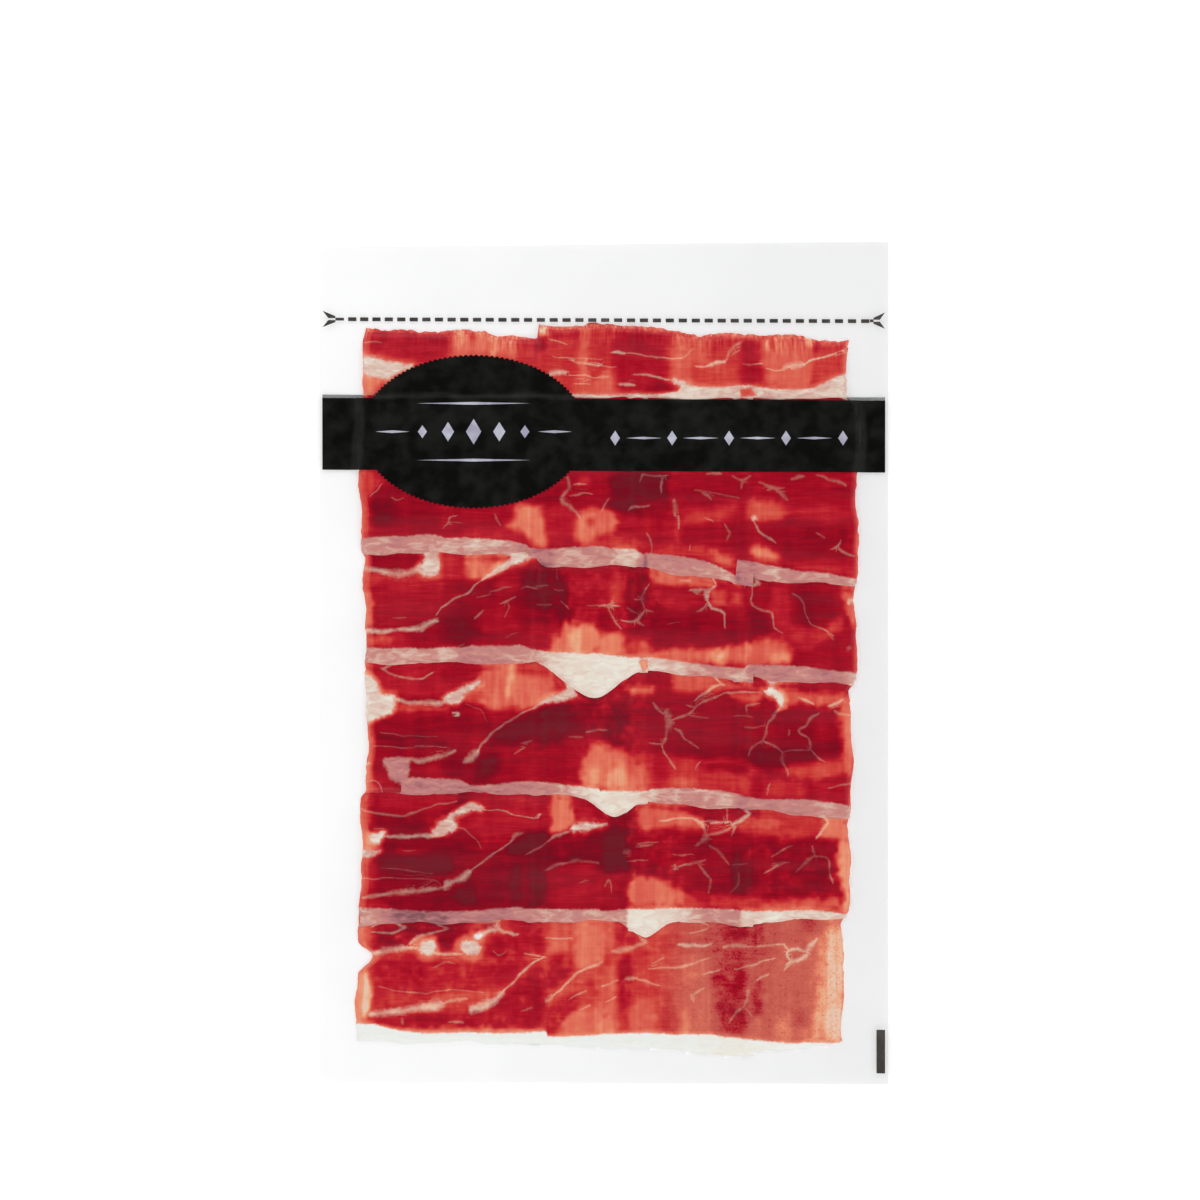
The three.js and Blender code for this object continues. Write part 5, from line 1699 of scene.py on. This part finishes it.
    veined = add(tree, "Mix", {
        "Factor": line, "A": bloomed, "B": vein_and_glint_colour.outputs[2],
    }, data_type="RGBA").outputs[2]
    colour = add(tree, "Mix", {
        "Factor": is_fat, "A": veined, "B": fat_colour.outputs[0],
    }, data_type="RGBA").outputs[2]
    relief = add(tree, "Math", {0: line, 1: 0.5, 2: is_fat}, operation="MULTIPLY_ADD").outputs[0]
    relief = add(tree, "Math", {0: clouds.outputs["Fac"], 1: 1.2, 2: relief}, operation="MULTIPLY_ADD")
    bump = add(tree, "Bump", {"Height": relief.outputs[0], "Strength": 0.5, "Distance": 0.15 * MM})
    roughness = add(tree, "MapRange", {"Value": is_fat, "To Min": 0.36, "To Max": 0.46}).outputs[0]
    shader = add(tree, "BsdfPrincipled", {
        "Base Color": colour, "Roughness": roughness, "IOR": 1.25, "Normal": bump.outputs[0],
        "Coat Weight": 0.1, "Coat Roughness": 0.12,
    })
    add(tree, "OutputMaterial", {"Surface": shader.outputs[0]})
    return material


def ink(name, code, cloud_and_sheen_code, alpha=1.0):
    """Flexographic ink on film: thin, slightly clouded, with a little of the film's own gloss. The
    lighter clouds are partly uneven ink and partly painted sheen, of wrinkles on the black inks
    and of foil on the silver one.
    """
    material, tree = new_material(name)
    place = add(tree, "TexCoord", {}).outputs["Object"]
    ink_cloud_and_sheen = add(tree, "TexNoise", {"Vector": place, "Scale": 1 / (6 * MM), "Detail": 3})
    # The lighter clouds are partly uneven ink and partly painted sheen of wrinkles and foil.
    cloud_and_sheen_share = add(tree, "MapRange", {"Value": ink_cloud_and_sheen.outputs["Fac"], "From Min": 0.4, "From Max": 0.65})
    colour = add(tree, "Mix", {
        "Factor": cloud_and_sheen_share.outputs[0], "A": srgb(code), "B": srgb(cloud_and_sheen_code),
    }, data_type="RGBA").outputs[2]
    gloss = add(tree, "MapRange", {"Value": ink_cloud_and_sheen.outputs["Fac"], "To Min": 0.24, "To Max": 0.36})
    shader = add(tree, "BsdfPrincipled", {
        "Base Color": colour, "Roughness": gloss.outputs[0], "IOR": 1.22, "Alpha": alpha,
    })
    add(tree, "OutputMaterial", {"Surface": shader.outputs[0]})
    return material


# ---- the stage ----

LENS, SENSOR = 90, 36
PHOTO_SIDE = 1200  # pixels
PHOTO_AIM = (-1.32, 22.18)  # the place on the pack in the middle of the photo
UNDER_PACK = 0.3  # how far the table lies below the pack, so that they don't touch
TABLE_HALF = 3  # metres from the table's middle to its edge


def camera():
    data = bpy.data.cameras.new("camera")
    data.lens = LENS
    data.sensor_width = SENSOR
    data.clip_end = 10
    away = PHOTO_SIDE / PHOTO_SCALE * LENS / SENSOR
    eye = bpy.data.objects.new("camera", data)
    eye.location = (PHOTO_AIM[0] * MM, PHOTO_AIM[1] * MM, away * MM)
    bpy.context.scene.collection.objects.link(eye)
    bpy.context.scene.camera = eye


def lamp(name, azimuth, height, distance, size, power):
    data = bpy.data.lights.new(name, "AREA")
    data.shape = "RECTANGLE"
    data.size, data.size_y = size
    data.energy = power
    lamp_object = bpy.data.objects.new(name, data)
    a, e = math.radians(azimuth), math.radians(height)
    place = Vector((math.cos(a) * math.cos(e), math.sin(a) * math.cos(e), math.sin(e))) * distance
    lamp_object.location = place
    lamp_object.rotation_mode = "QUATERNION"
    lamp_object.rotation_quaternion = place.to_track_quat("Z", "Y")
    bpy.context.scene.collection.objects.link(lamp_object)


def stage():
    """A white table that glows a little, so that shadows stay faint, under a soft white dome with
    a dark opening overhead, which keeps flat glossy film from mirroring light to the camera."""
    bm = bmesh.new()
    bmesh.ops.create_grid(bm, x_segments=1, y_segments=1, size=TABLE_HALF)
    bmesh.ops.translate(bm, verts=bm.verts[:], vec=(0, 0, -UNDER_PACK * MM))
    material, tree = new_material("white_table")
    shader = add(tree, "BsdfPrincipled", {
        "Base Color": srgb("#C8C8C8"), "Roughness": 0.9, "IOR": 1.1,
        "Emission Color": srgb("#FFFFFF"), "Emission Strength": 0.48,
    })
    add(tree, "OutputMaterial", {"Surface": shader.outputs[0]})
    new_mesh_object("table", bm, material)
    for n, azimuth in enumerate((110, 290)):
        lamp(f"side_light_{n}", azimuth, height=42, distance=1.5, size=(1.4, 0.9), power=4)
    world = bpy.data.worlds.new("studio")
    world.use_nodes = True
    tree = world.node_tree
    upward = add(tree, "TexCoord", {}).outputs["Generated"]
    upward = add(tree, "SeparateXYZ", {"Vector": upward}).outputs["Z"]
    dome = add(tree, "MapRange", {
        "Value": upward, "From Min": 0.80, "From Max": 0.93, "To Min": 1.05, "To Max": 0.0,
    }, interpolation_type="SMOOTHSTEP")
    background = tree.nodes["Background"]
    background.inputs["Color"].default_value = srgb("#FFFFFF")
    tree.links.new(dome.outputs[0], background.inputs["Strength"])
    bpy.context.scene.world = world
    bpy.context.scene.view_settings.view_transform = "Standard"


camera()
sealed_films()
ham = cured_ham()
for number in range(LAST_ROW + 1):
    ham_row(number, ham)
black_ink = ink("black_ink_two_coats", "#0C0C0B", "#1A1B19")
thin_black_ink = ink("black_ink_one_coat", "#403D3A", "#4F4B48")
silver_ink = ink("silver_lilac_ink", "#A29FB2", "#BFC1CE")
band("printed_band", 0, 1, "black_print", black_ink)
band("back_band", BACK_BAND_RISE, -1, "grey_print", ink("black_ink_behind", "#3E4040", "#484A4A", 0.45))
badge(black_ink)
ornaments(silver_ink)
tear_line(thin_black_ink)
tear_marks(thin_black_ink)
eye_mark(thin_black_ink)
stage()
